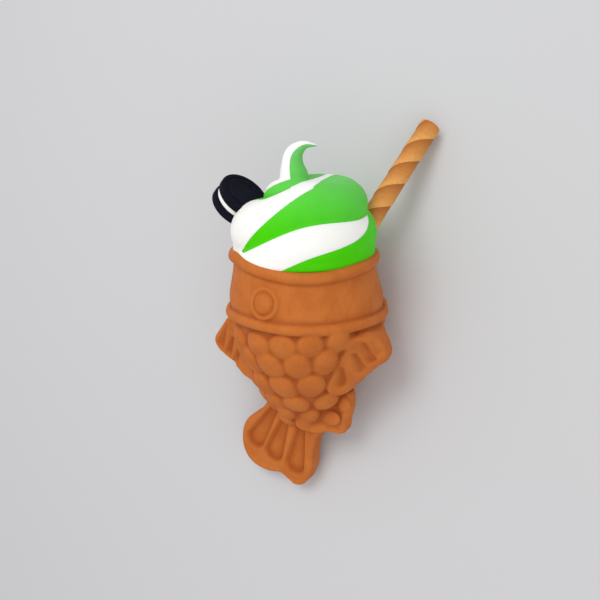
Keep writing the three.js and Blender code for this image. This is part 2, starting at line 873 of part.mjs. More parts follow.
// One wafer, from its flat inner face out to the raised rim and rings of its outer face.
function waferProfile() {
  const { radius, wafer } = BISCUIT;
  return [
    [0, 0],
    [radius - 0.5, 0],
    [radius, 0.6],
    [radius, wafer - 0.7],
    [radius - 0.6, wafer],
    [radius - 2, wafer],
    [radius - 2.6, wafer - 0.7],
    [radius - 3.6, wafer - 0.7],
    [radius - 4.2, wafer - 0.1],
    [radius - 5.2, wafer - 0.1],
    [radius - 5.7, wafer - 0.6],
    [0, wafer - 0.6],
  ];
}

function wafer(side) {
  const geometry = turned(waferProfile(), BISCUIT.sides).translate(0, 0, CREAM_HEIGHT + GAP);
  if (side < 0) geometry.rotateX(Math.PI);
  return aimed(geometry, BISCUIT.axis, BISCUIT.centre);
}

function creamLayer() {
  const profile = [
    [0, -CREAM_HEIGHT],
    [BISCUIT.creamRadius - 0.5, -CREAM_HEIGHT],
    [BISCUIT.creamRadius, 0],
    [BISCUIT.creamRadius - 0.5, CREAM_HEIGHT],
    [0, CREAM_HEIGHT],
  ];
  return aimed(turned(profile, BISCUIT.sides), BISCUIT.axis, BISCUIT.centre);
}

function biscuitPocket() {
  const radius = BISCUIT.radius + GAP;
  const height = 2 * (CREAM_HEIGHT + GAP + BISCUIT.wafer + GAP);
  const geometry = new THREE.CylinderGeometry(radius, radius, height, BISCUIT.sides);
  geometry.rotateX(Math.PI / 2);
  return toSolid(aimed(geometry, BISCUIT.axis, BISCUIT.centre));
}

// ---------------------------------------------------------------- the rolled wafer

const ROLL = {
  radius: 5.9,
  length: 104,
  overlap: 0.6, // step where one turn of the strip laps the next
  pitch: 28, // of each of its two strips
  sides: 12,
  steps: 8, // in one pitch
  start: fromFront(34.2, -6, 13), // where it leaves the ice cream
  axis: fromFront(0.5358, -0.4325, 0.7262).normalize(),
  above: 65.9, // from start to its outer end
};

// Its section turned by a twist: two strips, each with its lower edge over the other and
// thinning from there to its upper edge.
function rollSection(twist) {
  return circle(1, ROLL.sides).map((point, k) => {
    const left = (2 * k) / ROLL.sides;
    const lap = ROLL.overlap * (left - Math.floor(left));
    return point.rotateAround(new THREE.Vector2(), twist).multiplyScalar(ROLL.radius - lap);
  });
}

function rollFoot() {
  return ROLL.start.clone().addScaledVector(ROLL.axis, ROLL.above - ROLL.length);
}

function rolledWafer() {
  const steps = Math.round((ROLL.length / ROLL.pitch) * ROLL.steps);
  const sections = Array.from({ length: steps + 1 }, (_, i) => {
    const up = (i / steps) * ROLL.length;
    return rollSection((up / ROLL.pitch) * TURN).map(({ x, y }) => new THREE.Vector3(x, y, up));
  });
  return aimed(lofted(sections), ROLL.axis, rollFoot());
}

function rollPocket() {
  const radius = ROLL.radius + GAP;
  const length = ROLL.length + GAP;
  const geometry = new THREE.CylinderGeometry(radius, radius, length, 16)
    .rotateX(Math.PI / 2)
    .translate(0, 0, length / 2 - GAP);
  return toSolid(aimed(geometry, ROLL.axis, rollFoot()));
}

// ---------------------------------------------------------------- assembly

const MATERIALS = {
  cake: new THREE.MeshStandardMaterial({ color: 0xbf6f38, roughness: 0.75, metalness: 0 }),
  white: new THREE.MeshStandardMaterial({ color: 0xfbfaf4, roughness: 0.45, metalness: 0 }),
  green: new THREE.MeshStandardMaterial({ color: 0x5ccb22, roughness: 0.45, metalness: 0 }),
  chocolate: new THREE.MeshStandardMaterial({ color: 0x14141f, roughness: 0.7, metalness: 0 }),
  roll: new THREE.MeshStandardMaterial({ color: 0xc78647, roughness: 0.7, metalness: 0 }),
};

// How far the pieces' surfaces may shift to save triangles.
const CAKE_TOLERANCE = 0.12;
const ICE_CREAM_TOLERANCE = 0.05;

const taiyaki = new THREE.Group();

function addPiece(name, geometry, material) {
  const mesh = new THREE.Mesh(geometry, material);
  mesh.name = name;
  taiyaki.add(mesh);
}

addPiece("cake", thinned(toGeometry(cake()), CAKE_TOLERANCE), MATERIALS.cake);
const { green, white } = iceCream();
addPiece("ice_cream_white", thinned(toGeometry(white), ICE_CREAM_TOLERANCE), MATERIALS.white);
addPiece("ice_cream_green", thinned(toGeometry(green), ICE_CREAM_TOLERANCE), MATERIALS.green);
addPiece("biscuit_outer_wafer", wafer(1), MATERIALS.chocolate);
addPiece("biscuit_cream", creamLayer(), MATERIALS.white);
addPiece("biscuit_inner_wafer", wafer(-1), MATERIALS.chocolate);
addPiece("wafer_roll", rolledWafer(), MATERIALS.roll);

// Laid down: the mouth points along +Y, the shown flank faces up, and the origin is the
// middle of the bottom of the bounding box.
taiyaki.rotation.x = REST_TILT - Math.PI / 2;
const laid = new THREE.Group();
laid.add(taiyaki);
laid.updateMatrixWorld(true);
const box = new THREE.Box3().setFromObject(laid, true);
taiyaki.position.set(
  -(box.min.x + box.max.x) / 2,
  -(box.min.y + box.max.y) / 2,
  -box.min.z,
);

export default laid;
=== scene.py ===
"""Looks of the taiyaki soft-serve cone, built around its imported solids.

Shapes are worked out in the upright frame of the CAD source, in millimetres: the mouth
up at z = 0, +x the belly side, -y the shown flank. place() then lays them down in the
row frame, in metres.
"""

import math

import bmesh
import bpy
import numpy as np
import openvdb
from mathutils import Matrix, Vector


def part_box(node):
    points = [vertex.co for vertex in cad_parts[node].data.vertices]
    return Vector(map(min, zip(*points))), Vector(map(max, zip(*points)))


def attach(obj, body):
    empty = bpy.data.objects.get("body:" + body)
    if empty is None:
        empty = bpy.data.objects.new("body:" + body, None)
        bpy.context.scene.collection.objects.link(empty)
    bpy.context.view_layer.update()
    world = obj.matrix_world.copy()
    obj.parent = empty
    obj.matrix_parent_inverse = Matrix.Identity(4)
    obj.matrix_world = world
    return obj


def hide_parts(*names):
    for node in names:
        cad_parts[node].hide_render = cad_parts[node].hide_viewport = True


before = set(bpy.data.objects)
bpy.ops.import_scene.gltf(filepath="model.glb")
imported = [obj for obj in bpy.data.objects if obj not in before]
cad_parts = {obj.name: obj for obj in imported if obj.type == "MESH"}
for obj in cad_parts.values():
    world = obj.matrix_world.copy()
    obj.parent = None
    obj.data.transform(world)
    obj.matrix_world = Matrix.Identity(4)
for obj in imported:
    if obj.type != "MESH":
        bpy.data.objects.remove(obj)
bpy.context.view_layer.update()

MM = 0.001
TURN = 2 * math.pi
FRONT = math.radians(-58)  # heading that the swirl, biscuit and wafer are set from
REST_TILT = math.radians(17.9)
REST_DEPTH = 49.3  # from the middle of the rim down to the floor


def from_front(right, towards, up):
    """A point given to the right of the FRONT heading, towards it, and up."""
    x = towards * math.cos(FRONT) - right * math.sin(FRONT)
    y = towards * math.sin(FRONT) + right * math.cos(FRONT)
    return Vector((x, y, up))


# The CAD biscuit's middle and axis. Its place in the row frame says where all else goes.
BISCUIT_CENTRE = from_front(-34, -9, 25.8)
BISCUIT_AXIS = from_front(0.55, 0.37, 0.75).normalized()

LYING = Matrix.Rotation(REST_TILT - math.pi / 2, 3, "X")
low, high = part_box("biscuit_cream")
ORIGIN = (low + high) / 2 - LYING @ BISCUIT_CENTRE * MM


def place(points):
    """Upright points in millimetres, as row frame points in metres."""
    laid = np.asarray(points, float).reshape(-1, 3) @ np.array(LYING).T
    return laid * MM + np.array(ORIGIN)


# ---------------------------------------------------------------- camera

FOCAL_PIXELS = 695
IMAGE_PIXELS = 600
CAMERA_YAW = math.radians(32)
CAMERA_ELEVATION = math.radians(20)
CAMERA_DISTANCE = 371
CAMERA_LEFT = 2.135
CAMERA_DROP = 26.69


def make_camera():
    """The photograph's view of the upright shapes, laid down with them."""
    level = Vector((math.sin(CAMERA_YAW), -math.cos(CAMERA_YAW), 0))
    right = Vector((math.cos(CAMERA_YAW), math.sin(CAMERA_YAW), 0))
    lift = Vector((0, 0, 1))
    back = math.cos(CAMERA_ELEVATION) * level + math.sin(CAMERA_ELEVATION) * lift
    up = math.cos(CAMERA_ELEVATION) * lift - math.sin(CAMERA_ELEVATION) * level
    where = CAMERA_DISTANCE * back - CAMERA_LEFT * right - CAMERA_DROP * up
    turn = LYING @ Matrix((right, up, back)).transposed()
    data = bpy.data.cameras.new("camera")
    data.sensor_width = 36
    data.lens = data.sensor_width * FOCAL_PIXELS / IMAGE_PIXELS
    data.clip_start = 0.01
    data.clip_end = 20
    camera = bpy.data.objects.new("camera", data)
    camera.matrix_world = Matrix.Translation(place(where)[0]) @ turn.to_4x4()
    bpy.context.scene.collection.objects.link(camera)
    bpy.context.scene.camera = camera


# ---------------------------------------------------------------- fields


def along(pairs, x):
    """The value at x of a smooth curve through [x, value] pairs."""
    xs, ys = np.array(pairs, float).T
    last = len(xs) - 1
    i = np.searchsorted(xs[1:last], x, "left")
    width = xs[i + 1] - xs[i]
    t = np.clip((x - xs[i]) / width, 0, 1)
    before = np.maximum(i - 1, 0)
    after = np.minimum(i + 2, last)
    start = (ys[i + 1] - ys[before]) / (xs[i + 1] - xs[before]) * width
    end = (ys[after] - ys[i]) / (xs[after] - xs[i]) * width
    rise = ys[i + 1] - ys[i]
    cubic = (3 * rise - 2 * start - end) * t**2 + (start + end - 2 * rise) * t**3
    return ys[i] + start * t + cubic


def smooth_min(a, b, k):
    h = np.maximum(k - np.abs(a - b), 0) / k
    return np.minimum(a, b) - h * h * (k / 4)


def smooth_max(a, b, k):
    return -smooth_min(-a, -b, k)


def smooth_step(x, start, end):
    t = np.clip((x - start) / (end - start), 0, 1)
    return t * t * (3 - 2 * t)


def rounded_corner(a, b, edge):
    """The distance to where a and b are both negative, with a rounded edge."""
    a = a + edge
    b = b + edge
    outside = np.hypot(np.maximum(a, 0), np.maximum(b, 0))
    return outside + np.minimum(np.maximum(a, b), 0) - edge


class Field:
    """Distances to a surface at the points of a grid, negative inside it."""

    FAR = 4.0  # the longest distance that is kept

    def __init__(self, low, high, step):
        self.low = np.array(low, np.float32)
        self.step = step
        self.counts = [int(math.ceil((b - a) / step)) + 1 for a, b in zip(low, high)]
        self.values = np.full(self.counts, self.FAR, np.float32)

    def part(self, low, high):
        """The slices, and the x, y and z, of the grid points inside a box."""
        slices, places = [], []
        for axis in range(3):
            first = (low[axis] - self.low[axis]) / self.step
            last = (high[axis] - self.low[axis]) / self.step
            first = max(int(math.floor(first)), 0)
            last = min(int(math.ceil(last)) + 1, self.counts[axis])
            slices.append(slice(first, last))
            shape = [1, 1, 1]
            shape[axis] = last - first
            steps = np.arange(first, last, dtype=np.float32) * self.step
            places.append((self.low[axis] + steps).reshape(shape))
        return tuple(slices), places

    def whole(self):
        high = self.low + np.array(self.counts) * self.step
        return self.part(self.low, high)[1]

    def add(self, low, high, distance, blend):
        """Joins a shape that lies inside a box, given by its distance at x, y, z."""
        slices, places = self.part(low, high)
        local = self.values[slices]
        local[:] = smooth_min(local, distance(*places).astype(np.float32), blend)

    def mesh(self):
        """The surface as corner points and four-sided faces."""
        grid = openvdb.FloatGrid(self.FAR)
        grid.copyFromArray(np.clip(self.values, -self.FAR, self.FAR))
        points, faces = grid.convertToQuads()
        return points * self.step + self.low, faces

    def crowding(self, reach):
        """How much of the box round each grid point is inside: half on a flat face."""
        share = np.clip(0.5 - self.values / self.step, 0, 1)
        reach = int(round(reach / self.step))
        for axis, n in enumerate(self.counts):
            margin = [(0, 0)] * 3
            margin[axis] = (1, 0)
            total = np.cumsum(np.pad(share, margin), axis, dtype=np.float32)
            steps = np.arange(n)
            upper = np.take(total, np.minimum(steps + reach + 1, n), axis)
            share = (upper - np.take(total, np.maximum(steps - reach, 0), axis)) / (2 * reach + 1)
        return share

    def at(self, points, values):
        """Grid values at any points inside the grid."""
        places = (points - self.low) / self.step
        first = np.clip(places.astype(int), 0, np.array(self.counts) - 2)
        share = places - first
        total = np.zeros(len(points))
        for corner in np.ndindex(2, 2, 2):
            weight = np.prod(np.where(corner, share, 1 - share), axis=1)
            total += weight * values[tuple((first + corner).T)]
        return total


def value_noise(counts, step, cell, seed):
    """Smooth random values from -1 to 1 on a grid, changing over cell millimetres."""
    rng = np.random.default_rng(seed)
    coarse = [int(n * step / cell) + 3 for n in counts]
    values = rng.uniform(-1, 1, coarse)
    for axis, n in enumerate(counts):
        cells = np.arange(n) * step / cell
        first = cells.astype(int)
        share = smooth_step(cells - first, 0, 1)
        shape = [1, 1, 1]
        shape[axis] = n
        share = share.reshape(shape)
        before = np.take(values, first, axis)
        after = np.take(values, first + 1, axis)
        values = before * (1 - share) + after * share
    return values.astype(np.float32)


def make_object(name, points, faces):
    """A smooth object from upright points and their faces."""
    mesh = bpy.data.meshes.new(name)
    corners = faces.tolist() if isinstance(faces, np.ndarray) else faces
    mesh.from_pydata(place(points).tolist(), [], corners)
    mesh.validate()
    mesh.shade_smooth()
    made = bpy.data.objects.new(name, mesh)
    bpy.context.scene.collection.objects.link(made)
    return made


def mark(made, name, values):
    """Keeps a number for each point of an object, for its material to read."""
    layer = made.data.attributes.new(name, "FLOAT", "POINT")
    layer.data.foreach_set("value", np.asarray(values, np.float32))


# ---------------------------------------------------------------- the cake

CAKE_STEP = 0.6
CAKE_SPACE = ((-65, -50, -149), (58, 50, 3))
RECESS_DEPTH = 24
RECESS_RADIUS = 35.6
MOUTH_EDGE = 1.4
BODY_END = -105
BODY_END_EDGE = 6
BODY_TOP = -2
BODY_TOP_EDGE = 1
# The body's radius, how flat it is from flank to flank, and how far its middle lies
# towards the belly, at heights.
WALL = [
    (BODY_END, 7), (-100, 12), (-94, 16), (-88, 20), (-82, 23.5), (-76, 27), (-64, 31),
    (-51, 35.5), (-36, 39.5), (-31, 40.8), (-24, 41.4), (-16, 39.8), (-9, 38.3), (0, 37.2),
]
FLANK_SQUEEZE = [(BODY_END, 0.72), (-80, 0.88), (-60, 1), (0, 1)]
BELLY_SHIFT = [(BODY_END, -1), (-80, 1), (-50, 2), (-31, 2), (-9, 0.3), (0, 0)]
# The rolls round the mouth and behind the head, and how much each is raised, at headings
# in degrees from FRONT.
LIP = {"radius": 37.1, "height": -4.3, "thick": 3.3}
LIP_RISE = [(-180, 0.8), (-90, 2.2), (-65, 3.8), (0, 0.4), (50, 2.2), (90, 1.7), (180, 0.8)]
COLLAR = {"radius": 41.2, "height": -31.6, "thick": 2.9}
COLLAR_RISE = [(-180, 0), (-90, -1.2), (-45, 2.3), (0, 2.6), (45, 2), (90, -1.3), (180, 0)]
ROLL_BLEND = 0.7

# Rows of scales, the same on both flanks: height at the middle of the flank, how much
# the row rises for each degree from there to the belly, width, length, and headings.
SCALE_ROWS = [
    (-38.5, 0, 17, 12, (65,)),
    (-42.4, 0.1, 18.6, 20.5, (-84, -61, -35, -7.5, 14.5, 34.5, 54)),
    (-53.9, 0.1, 18.6, 23, (-72, -49, -24, 0, 25, 46, 66)),
    (-69.1, 0.1, 18.6, 23, (-70, -46, -20, 7, 36, 60, 80)),
    (-82.2, 0.06, 17.4, 21.5, (-74, -45, -15, 16.5, 56)),
    (-91, 0, 15.2, 19, (-50, -8, 38, 76)),
    (-98, 0, 14, 18, (-22, 33)),
]
# How much narrower a scale is for each degree from the flank to the belly or the back.
SCALE_NARROWING = 0.05
SCALE_NARROWING_BACK = 0.11
# How far a scale stands out of the body, and how far it goes in.
SCALE_STAND = 3.5
SCALE_ROOT = 2.2
SCALE_LEAN = math.radians(13)
SCALE_BLEND = 1
SCALE_REACH = 12
SHOWN_FLANK = math.radians(-90)
# Scales on the vent fin's shown face: middle, and half the width and length.
VENT_SCALES = [((28.4, -81.8), (4.6, 5)), ((21.5, -91), (6.6, 5))]
VENT_STAND = 2.4
VENT_REACH = (9, 8)
VENT_DEPTH = 16

# The eye on both flanks: a ring, with a dome inside it.
EYE = {"aside": 1.6, "height": -17.4, "ring": 7.2, "thick": 1.25, "dome": 5.4, "stand": 2.7}
EYE_DOME_BLEND = 0.5
EYE_BLEND = 0.8
EYE_REACH = 13
EYE_ACROSS = (-12, 15)
EYE_DEPTHS = ((-50, -30), (30, 50))

# Unevenness of the baked surface: how much, over how many millimetres, and its seed.
UNEVEN = [(0.16, 9, 3), (0.06, 3.4, 4)]
REST_EDGE = 0.6
# Reaches of the crowding that the cake's material turns into painted shade in creases and hollows
# and a painted highlight on edges.
CREASE_REACH = 2
HOLLOW_REACH = 5

# Fins and tail, the same on both flanks: half thickness at the tip, how much thicker for
# each millimetre from there, how far one that lies on the body stands out of it, how deep
# its rays are, outline, and rays as from, to, width.
FINS = {
    "back": {
        "half": 3.2,
        "tip": -62,
        "flare": 0.1,
        "deep": 1.5,
        "outline": [
            (-24, -40), (-44, -40), (-50, -46.5), (-57.2, -56.4), (-61.6, -62.5),
            (-61.6, -66.6), (-57.9, -71), (-51.2, -74), (-47.3, -75.4), (-43.2, -79.4),
            (-38, -82.6), (-30, -84), (-16, -81),
        ],
        "rays": [
            ((-51.5, -53), (-56.6, -66.5), 5),
            ((-46.5, -60), (-50.2, -70), 4.4),
            ((-41.5, -65), (-44.8, -74.2), 4.2),
        ],
    },
    "belly": {
        "half": 3.2,
        "tip": 55,
        "flare": 0.36,
        "over": 2.6,
        "deep": 1.2,
        "outline": [
            (40, -29.5), (43.6, -32.8), (47.6, -36.8), (50.2, -40.6), (52, -44.8),
            (52.3, -48.5), (50.6, -52.8), (47.6, -55.4), (41.2, -62), (37, -65.2),
            (34, -71), (30.2, -73.2), (27, -71.8), (25.3, -68), (26.4, -63.2),
            (28.9, -57.6), (32.2, -49), (35.6, -42), (38.6, -37.6),
        ],
        "rays": [
            ((48, -37.6), (49.2, -45.6), 4.4),
            ((44.2, -39.6), (46, -50), 5),
            ((39.6, -46), (41.8, -56.6), 5),
            ((33.6, -54), (33, -65), 4.2),
        ],
    },
    "vent": {
        "half": 3,
        "tip": 34,
        "flare": 0.34,
        "deep": 0.8,
        "outline": [
            (8, -82), (24, -76), (31.5, -76), (32.6, -85), (30.6, -93), (29.6, -99.5),
            (27, -101.8), (20, -101.6), (12, -103.5), (2, -99),
        ],
        "rays": [((20, -98.6), (26.6, -98.4), 3)],
    },
    "tail": {
        "half": 5.6,
        "tip": 0,
        "flare": 0,
        "deep": 2.6,
        "outline": [
            (-12, -91), (-21.5, -95), (-27.5, -102), (-36.5, -110), (-41, -118.5),
            (-41.6, -129), (-38.6, -136.5), (-33, -141.4), (-27, -143), (-21, -143),
            (-13.5, -141.4), (-8, -144), (-2.5, -145.8), (3.6, -142.5), (8.2, -132),
            (9, -121), (10.8, -111), (12, -99),
        ],
        "rays": [
            ((-17.6, -99), (-31, -122.6), 12.6),
            ((-9.4, -103), (-18, -128), 12.6),
            ((1.4, -104), (-3, -131.5), 12.8),
        ],
    },
}
RAY_SIDE = (-1, 1.7)  # from where outside a ray to where inside it its side slopes
RAY_START, RAY_END = 0.22, 0.5  # a ray's radius there, as a share of its width
# The belly fin's shown face is flat: half thickness at a point of its plane, how much
# thicker for each millimetre towards the back and up from it, and the least there is.
BELLY_FACE = {"half": 4, "at": (55, -40), "inwards": 0.9, "up": 0.37, "least": 2.6, "blend": 2}
SHOULDER, SHOULDER_SLOPE = -36, 2  # above this height the face falls back under the collar
FIN_EDGE = 2.2
FIN_BLEND = 1
FIN_MARGIN = 5
FIN_DEPTH = 50
FACE_BLEND = 9
STEEPEST = 3  # the most that the distance to a steep face is divided by
OUTLINE_STEP = 0.125  # between points of an outline, as a share of a stretch of it
# Rolls that stand up along a fin's edge and round its rays: how far in from the edge
# or out from the ray, how wide and how high.
EDGE_ROLL = {"aside": 2.6, "wide": 1.3, "high": 0.4}
RAY_ROLL = {"aside": 1.5, "wide": 1.1, "high": 0.3}


def body_point(z, heading):
    radius = along(WALL, z)
    x = radius * math.cos(heading) + along(BELLY_SHIFT, z)
    y = radius * math.sin(heading) * along(FLANK_SQUEEZE, z)
    return Vector((x, y, z))


def curved_outline(points):
    """A smooth closed curve through points, given by points that are closer together."""
    p = np.array(points, float)
    before, after, beyond = np.roll(p, 1, 0), np.roll(p, -1, 0), np.roll(p, -2, 0)
    curve = []
    for t in np.arange(0, 1, OUTLINE_STEP):
        curve.append(
            0.5
            * (
                2 * p
                + (after - before) * t
                + (2 * before - 5 * p + 4 * after - beyond) * t**2
                + (3 * p - before - 3 * after + beyond) * t**3
            )
        )
    return np.stack(curve, 1).reshape(-1, 2)


def distance_to_outline(outline, x, z):
    """Distance from points of the plane to a closed outline, negative inside."""
    nearest = np.full(np.broadcast(x, z).shape, 1e9)
    inside = np.zeros(nearest.shape, bool)
    for (x1, z1), (x2, z2) in zip(outline, np.roll(outline, -1, 0)):
        dx, dz = x2 - x1, z2 - z1
        t = np.clip(((x - x1) * dx + (z - z1) * dz) / (dx * dx + dz * dz), 0, 1)
        nearest = np.minimum(nearest, (x - x1 - t * dx) ** 2 + (z - z1 - t * dz) ** 2)
        if z1 != z2:
            crosses = (z1 > z) != (z2 > z)
            inside ^= crosses & (x < x1 + (z - z1) / dz * dx)
    return np.where(inside, -1, 1) * np.sqrt(nearest)


def distance_to_ray(ray, x, z):
    """Distance to a slot that is narrow at its start and broad at its end."""
    (x1, z1), (x2, z2), wide = ray
    dx, dz = x2 - x1, z2 - z1
    t = np.clip(((x - x1) * dx + (z - z1) * dz) / (dx * dx + dz * dz), 0, 1)
    radius = wide * (RAY_START + (RAY_END - RAY_START) * t)
    return np.hypot(x - x1 - t * dx, z - z1 - t * dz) - radius


def belly_face(x, z):
    """How far the belly fin's shown face stands from the plane between the flanks."""
    inwards, up = BELLY_FACE["at"][0] - x, z - BELLY_FACE["at"][1]
    flat = BELLY_FACE["half"] + BELLY_FACE["inwards"] * inwards + BELLY_FACE["up"] * up
    flat = flat - SHOULDER_SLOPE * np.maximum(z - SHOULDER, 0)
    return smooth_max(flat, BELLY_FACE["least"], BELLY_FACE["blend"])


def fin_face(fin, x, z):
    """How far a fin's face stands from the plane between the flanks."""
    plate = fin["half"] + fin["flare"] * np.abs(x - fin["tip"])
    if "over" not in fin:
        return np.broadcast_to(plate, np.broadcast(x, z).shape)
    radius = along(WALL, z) + fin["over"]
    aside = np.minimum(np.abs(x - along(BELLY_SHIFT, z)), radius)
    body = np.sqrt(radius**2 - aside**2) * along(FLANK_SQUEEZE, z)
    return smooth_max(plate, body, FACE_BLEND)


def rolled(roll, aside):
    return roll["high"] * np.exp(-(((aside - roll["aside"]) / roll["wide"]) ** 2))


def fin_distance(fin):
    outline = curved_outline(fin["outline"])

    def distance(x, y, z):
        edge = distance_to_outline(outline, x, z)
        face = fin_face(fin, x, z)
        slope = np.hypot(*(np.gradient(face, CAKE_STEP, axis=axis) for axis in (0, 2)))
        steep = np.minimum(np.sqrt(1 + slope**2), STEEPEST)
        if fin is FINS["belly"]:
            tilt = math.hypot(1, BELLY_FACE["inwards"], BELLY_FACE["up"])
            face = np.where(y < 0, belly_face(x, z), face)
            steep = np.where(y < 0, tilt, steep)
        slots = np.minimum.reduce([distance_to_ray(ray, x, z) for ray in fin["rays"]])
        relief = np.maximum(rolled(EDGE_ROLL, -edge), rolled(RAY_ROLL, slots))
        relief = relief - fin["deep"] * smooth_step(-slots, *RAY_SIDE)
        return rounded_corner(edge, (np.abs(y) - face) / steep - relief, FIN_EDGE)

    return distance


def wall_distance(x, y, z):
    ring = np.hypot(x - along(BELLY_SHIFT, z), y / along(FLANK_SQUEEZE, z))
    slope = (along(WALL, z + 1) - along(WALL, z - 1)) / 2
    side = (ring - along(WALL, z)) / np.sqrt(1 + slope**2)
    wall = smooth_max(side, BODY_END - 2 - z, BODY_END_EDGE)
    wall = smooth_max(wall, z - BODY_TOP, BODY_TOP_EDGE)
    heading = np.degrees((np.arctan2(y, x) - FRONT + math.pi) % TURN - math.pi)
    for part, rise in ((LIP, LIP_RISE), (COLLAR, COLLAR_RISE)):
        height = z - part["height"] - along(rise, heading)
        wall = smooth_min(wall, np.hypot(ring - part["radius"], height) - part["thick"], ROLL_BLEND)
    return wall


def ellipsoid_distance(offsets, halves):
    """About the distance to an ellipsoid, from offsets along its axes."""
    reach = np.sqrt(sum((offset / half) ** 2 for offset, half in zip(offsets, halves)))
    steep = np.sqrt(sum((offset / half**2) ** 2 for offset, half in zip(offsets, halves)))
    return reach * (reach - 1) / (steep + 1e-6)


def scale_distance(row, aside):
    """The foot of one scale on the shown flank, and the distance to that scale."""
    height, rise, width, length, _ = row
    heading = SHOWN_FLANK + math.radians(aside)
    middle = height + rise * aside
    here = body_point(middle, heading)
    up = (body_point(middle + 3, heading) - here).normalized()
    beside = body_point(middle, heading + math.radians(3)) - here
    out = beside.normalized().cross(up).normalized()
    side = up.cross(out)
    foot = here - SCALE_ROOT * out
    lean = Matrix.Rotation(SCALE_LEAN, 3, side)
    up, out = lean @ up, lean @ out
    width -= SCALE_NARROWING * aside if aside > 0 else -SCALE_NARROWING_BACK * aside
    halves = (width / 2, length / 2, SCALE_STAND + SCALE_ROOT)

    def distance(x, y, z):
        dx, dy, dz = x - foot.x, y - foot.y, z - foot.z
        offsets = [dx * axis.x + dy * axis.y + dz * axis.z for axis in (side, up, out)]
        return ellipsoid_distance(offsets, halves)

    return foot, distance


def vent_distance(scale):
    (middle_x, middle_z), (half_x, half_z) = scale
    stand = float(fin_face(FINS["vent"], middle_x, middle_z))

    def distance(x, y, z):
        offsets = (x - middle_x, y + stand, z - middle_z)
        return ellipsoid_distance(offsets, (half_x, VENT_STAND, half_z))

    return distance


def eye_distance(x, y, z):
    out = np.hypot(x - along(BELLY_SHIFT, z), y / along(FLANK_SQUEEZE, z)) - along(WALL, z)
    ring = np.hypot(x - EYE["aside"], z - EYE["height"])
    raised = np.hypot(ring - EYE["ring"], out) - EYE["thick"]
    dome = ellipsoid_distance((ring, out), (EYE["dome"], EYE["stand"]))
    return smooth_min(raised, dome, EYE_DOME_BLEND)


def make_cake():
    field = Field(*CAKE_SPACE, CAKE_STEP)
    x, y, z = field.whole()
    field.values[:] = wall_distance(x, y, z)
    belly = curved_outline(FINS["belly"]["outline"])
    reach = Vector((SCALE_REACH, SCALE_REACH, SCALE_REACH))
    for row in SCALE_ROWS:
        for aside in row[-1]:
            foot, distance = scale_distance(row, aside)
            if distance_to_outline(belly, foot.x, foot.z) < 0:
                continue
            field.add(foot - reach, foot + reach, distance, SCALE_BLEND)
            twin = Vector((foot.x, -foot.y, foot.z))
            field.add(twin - reach, twin + reach, lambda x, y, z: distance(x, -y, z), SCALE_BLEND)
    for fin in FINS.values():
        xs, zs = zip(*fin["outline"])
        low = (min(xs) - FIN_MARGIN, -FIN_DEPTH, min(zs) - FIN_MARGIN)
        high = (max(xs) + FIN_MARGIN, FIN_DEPTH, max(zs) + FIN_MARGIN)
        field.add(low, high, fin_distance(fin), FIN_BLEND)
    for scale in VENT_SCALES:
        middle_x, middle_z = scale[0]
        low = (middle_x - VENT_REACH[0], -VENT_DEPTH, middle_z - VENT_REACH[1])
        high = (middle_x + VENT_REACH[0], 0, middle_z + VENT_REACH[1])
        field.add(low, high, vent_distance(scale), SCALE_BLEND)
    for near, far in EYE_DEPTHS:
        low = (EYE_ACROSS[0], near, EYE["height"] - EYE_REACH)
        high = (EYE_ACROSS[1], far, EYE["height"] + EYE_REACH)
        field.add(low, high, eye_distance, EYE_BLEND)
    for amount, cell, seed in UNEVEN:
        field.values += amount * value_noise(field.counts, CAKE_STEP, cell, seed)
    mouth = np.maximum(np.hypot(x, y) - RECESS_RADIUS, -RECESS_DEPTH - z)
    field.values[:] = smooth_max(field.values, -mouth, MOUTH_EDGE)
    under = y * math.cos(REST_TILT) - z * math.sin(REST_TILT) - REST_DEPTH
    field.values[:] = smooth_max(field.values, under, REST_EDGE)
    points, faces = field.mesh()
    made = make_object("cake_body", points, faces)
    # The crowding kept here is painted by the cake's material as shade in creases and hollows and
    # as a highlight on edges.
    mark(made, "crease", field.at(points, field.crowding(CREASE_REACH)))
    mark(made, "hollow", field.at(points, field.crowding(HOLLOW_REACH)))
    return made


# ---------------------------------------------------------------- the ice cream

ICE_STEP = 0.45
ICE_SPACE = ((-44, -44, -26), (44, 44, 60))
# The piped rope, every 60 degrees round from ROPE_START: its middle's distance from the
# axis and height, its radius, and the heading in its section where green turns white.
ROPE = [
    (20, -12, 13, -110),
    (22, -3, 15.4, -52),
    (22, 8.5, 17, -12),
    (21.5, 10, 17, 24),
    (21, 10, 17, 130),
    (21, 10, 17, 165),
    (22, 9.5, 16.5, 218),
    (22, 13.7, 16.2, 325),
    (20, 25.8, 13.7, 408),
    (21.2, 25.8, 12.7, 456),
    (19, 25.6, 12.2, 468),
    (15, 25.4, 11.5, 590),
    (12, 26.4, 10.5, 690),
    (10, 29, 9.8, 770),
    (8, 31.5, 8.6, 850),
    (6, 32, 8, 880),
]
ROPE_RADIUS, ROPE_HEIGHT, ROPE_THICK, ROPE_EDGE = (
    [(i, row[key]) for i, row in enumerate(ROPE)] for key in range(4)
)
ROPE_START = math.radians(-120)
TURN_ROWS = 6
TURNS = 3
ROPE_END = len(ROPE) - 1
ROPE_FADE = 1  # rows over which the rope's start and end come and go
ROPE_BLEND = 1.2
# The share of its thickness that the rope starts with and is left with past its end, and
# the rows of the last turn between which it shrinks to that.
FIRST_THICK = 0.55
LAST_THICK = 0.25
LAST_FADE = (1.6, 3)
ROPE_FOOT = math.radians(-75)
ROPE_CAP = math.radians(100)
THREAD_RADIUS = 2.2  # of the green where it is all inside the rope
PROUD = 1.25  # how far the green's share of space reaches, of the rope's radius
BLADE = 0.15  # half the least width of the outside of that share
NEARLY_SHOWN = math.radians(6)  # the green thread sinks in over this much
GREEN_STEPS = 16  # sections of the green for each row
GREEN_ARC = 9  # points across its outside
GREEN_PARTS = ((1, 5), (5, 10), (10, ROPE_END))  # rows that are joined one after another

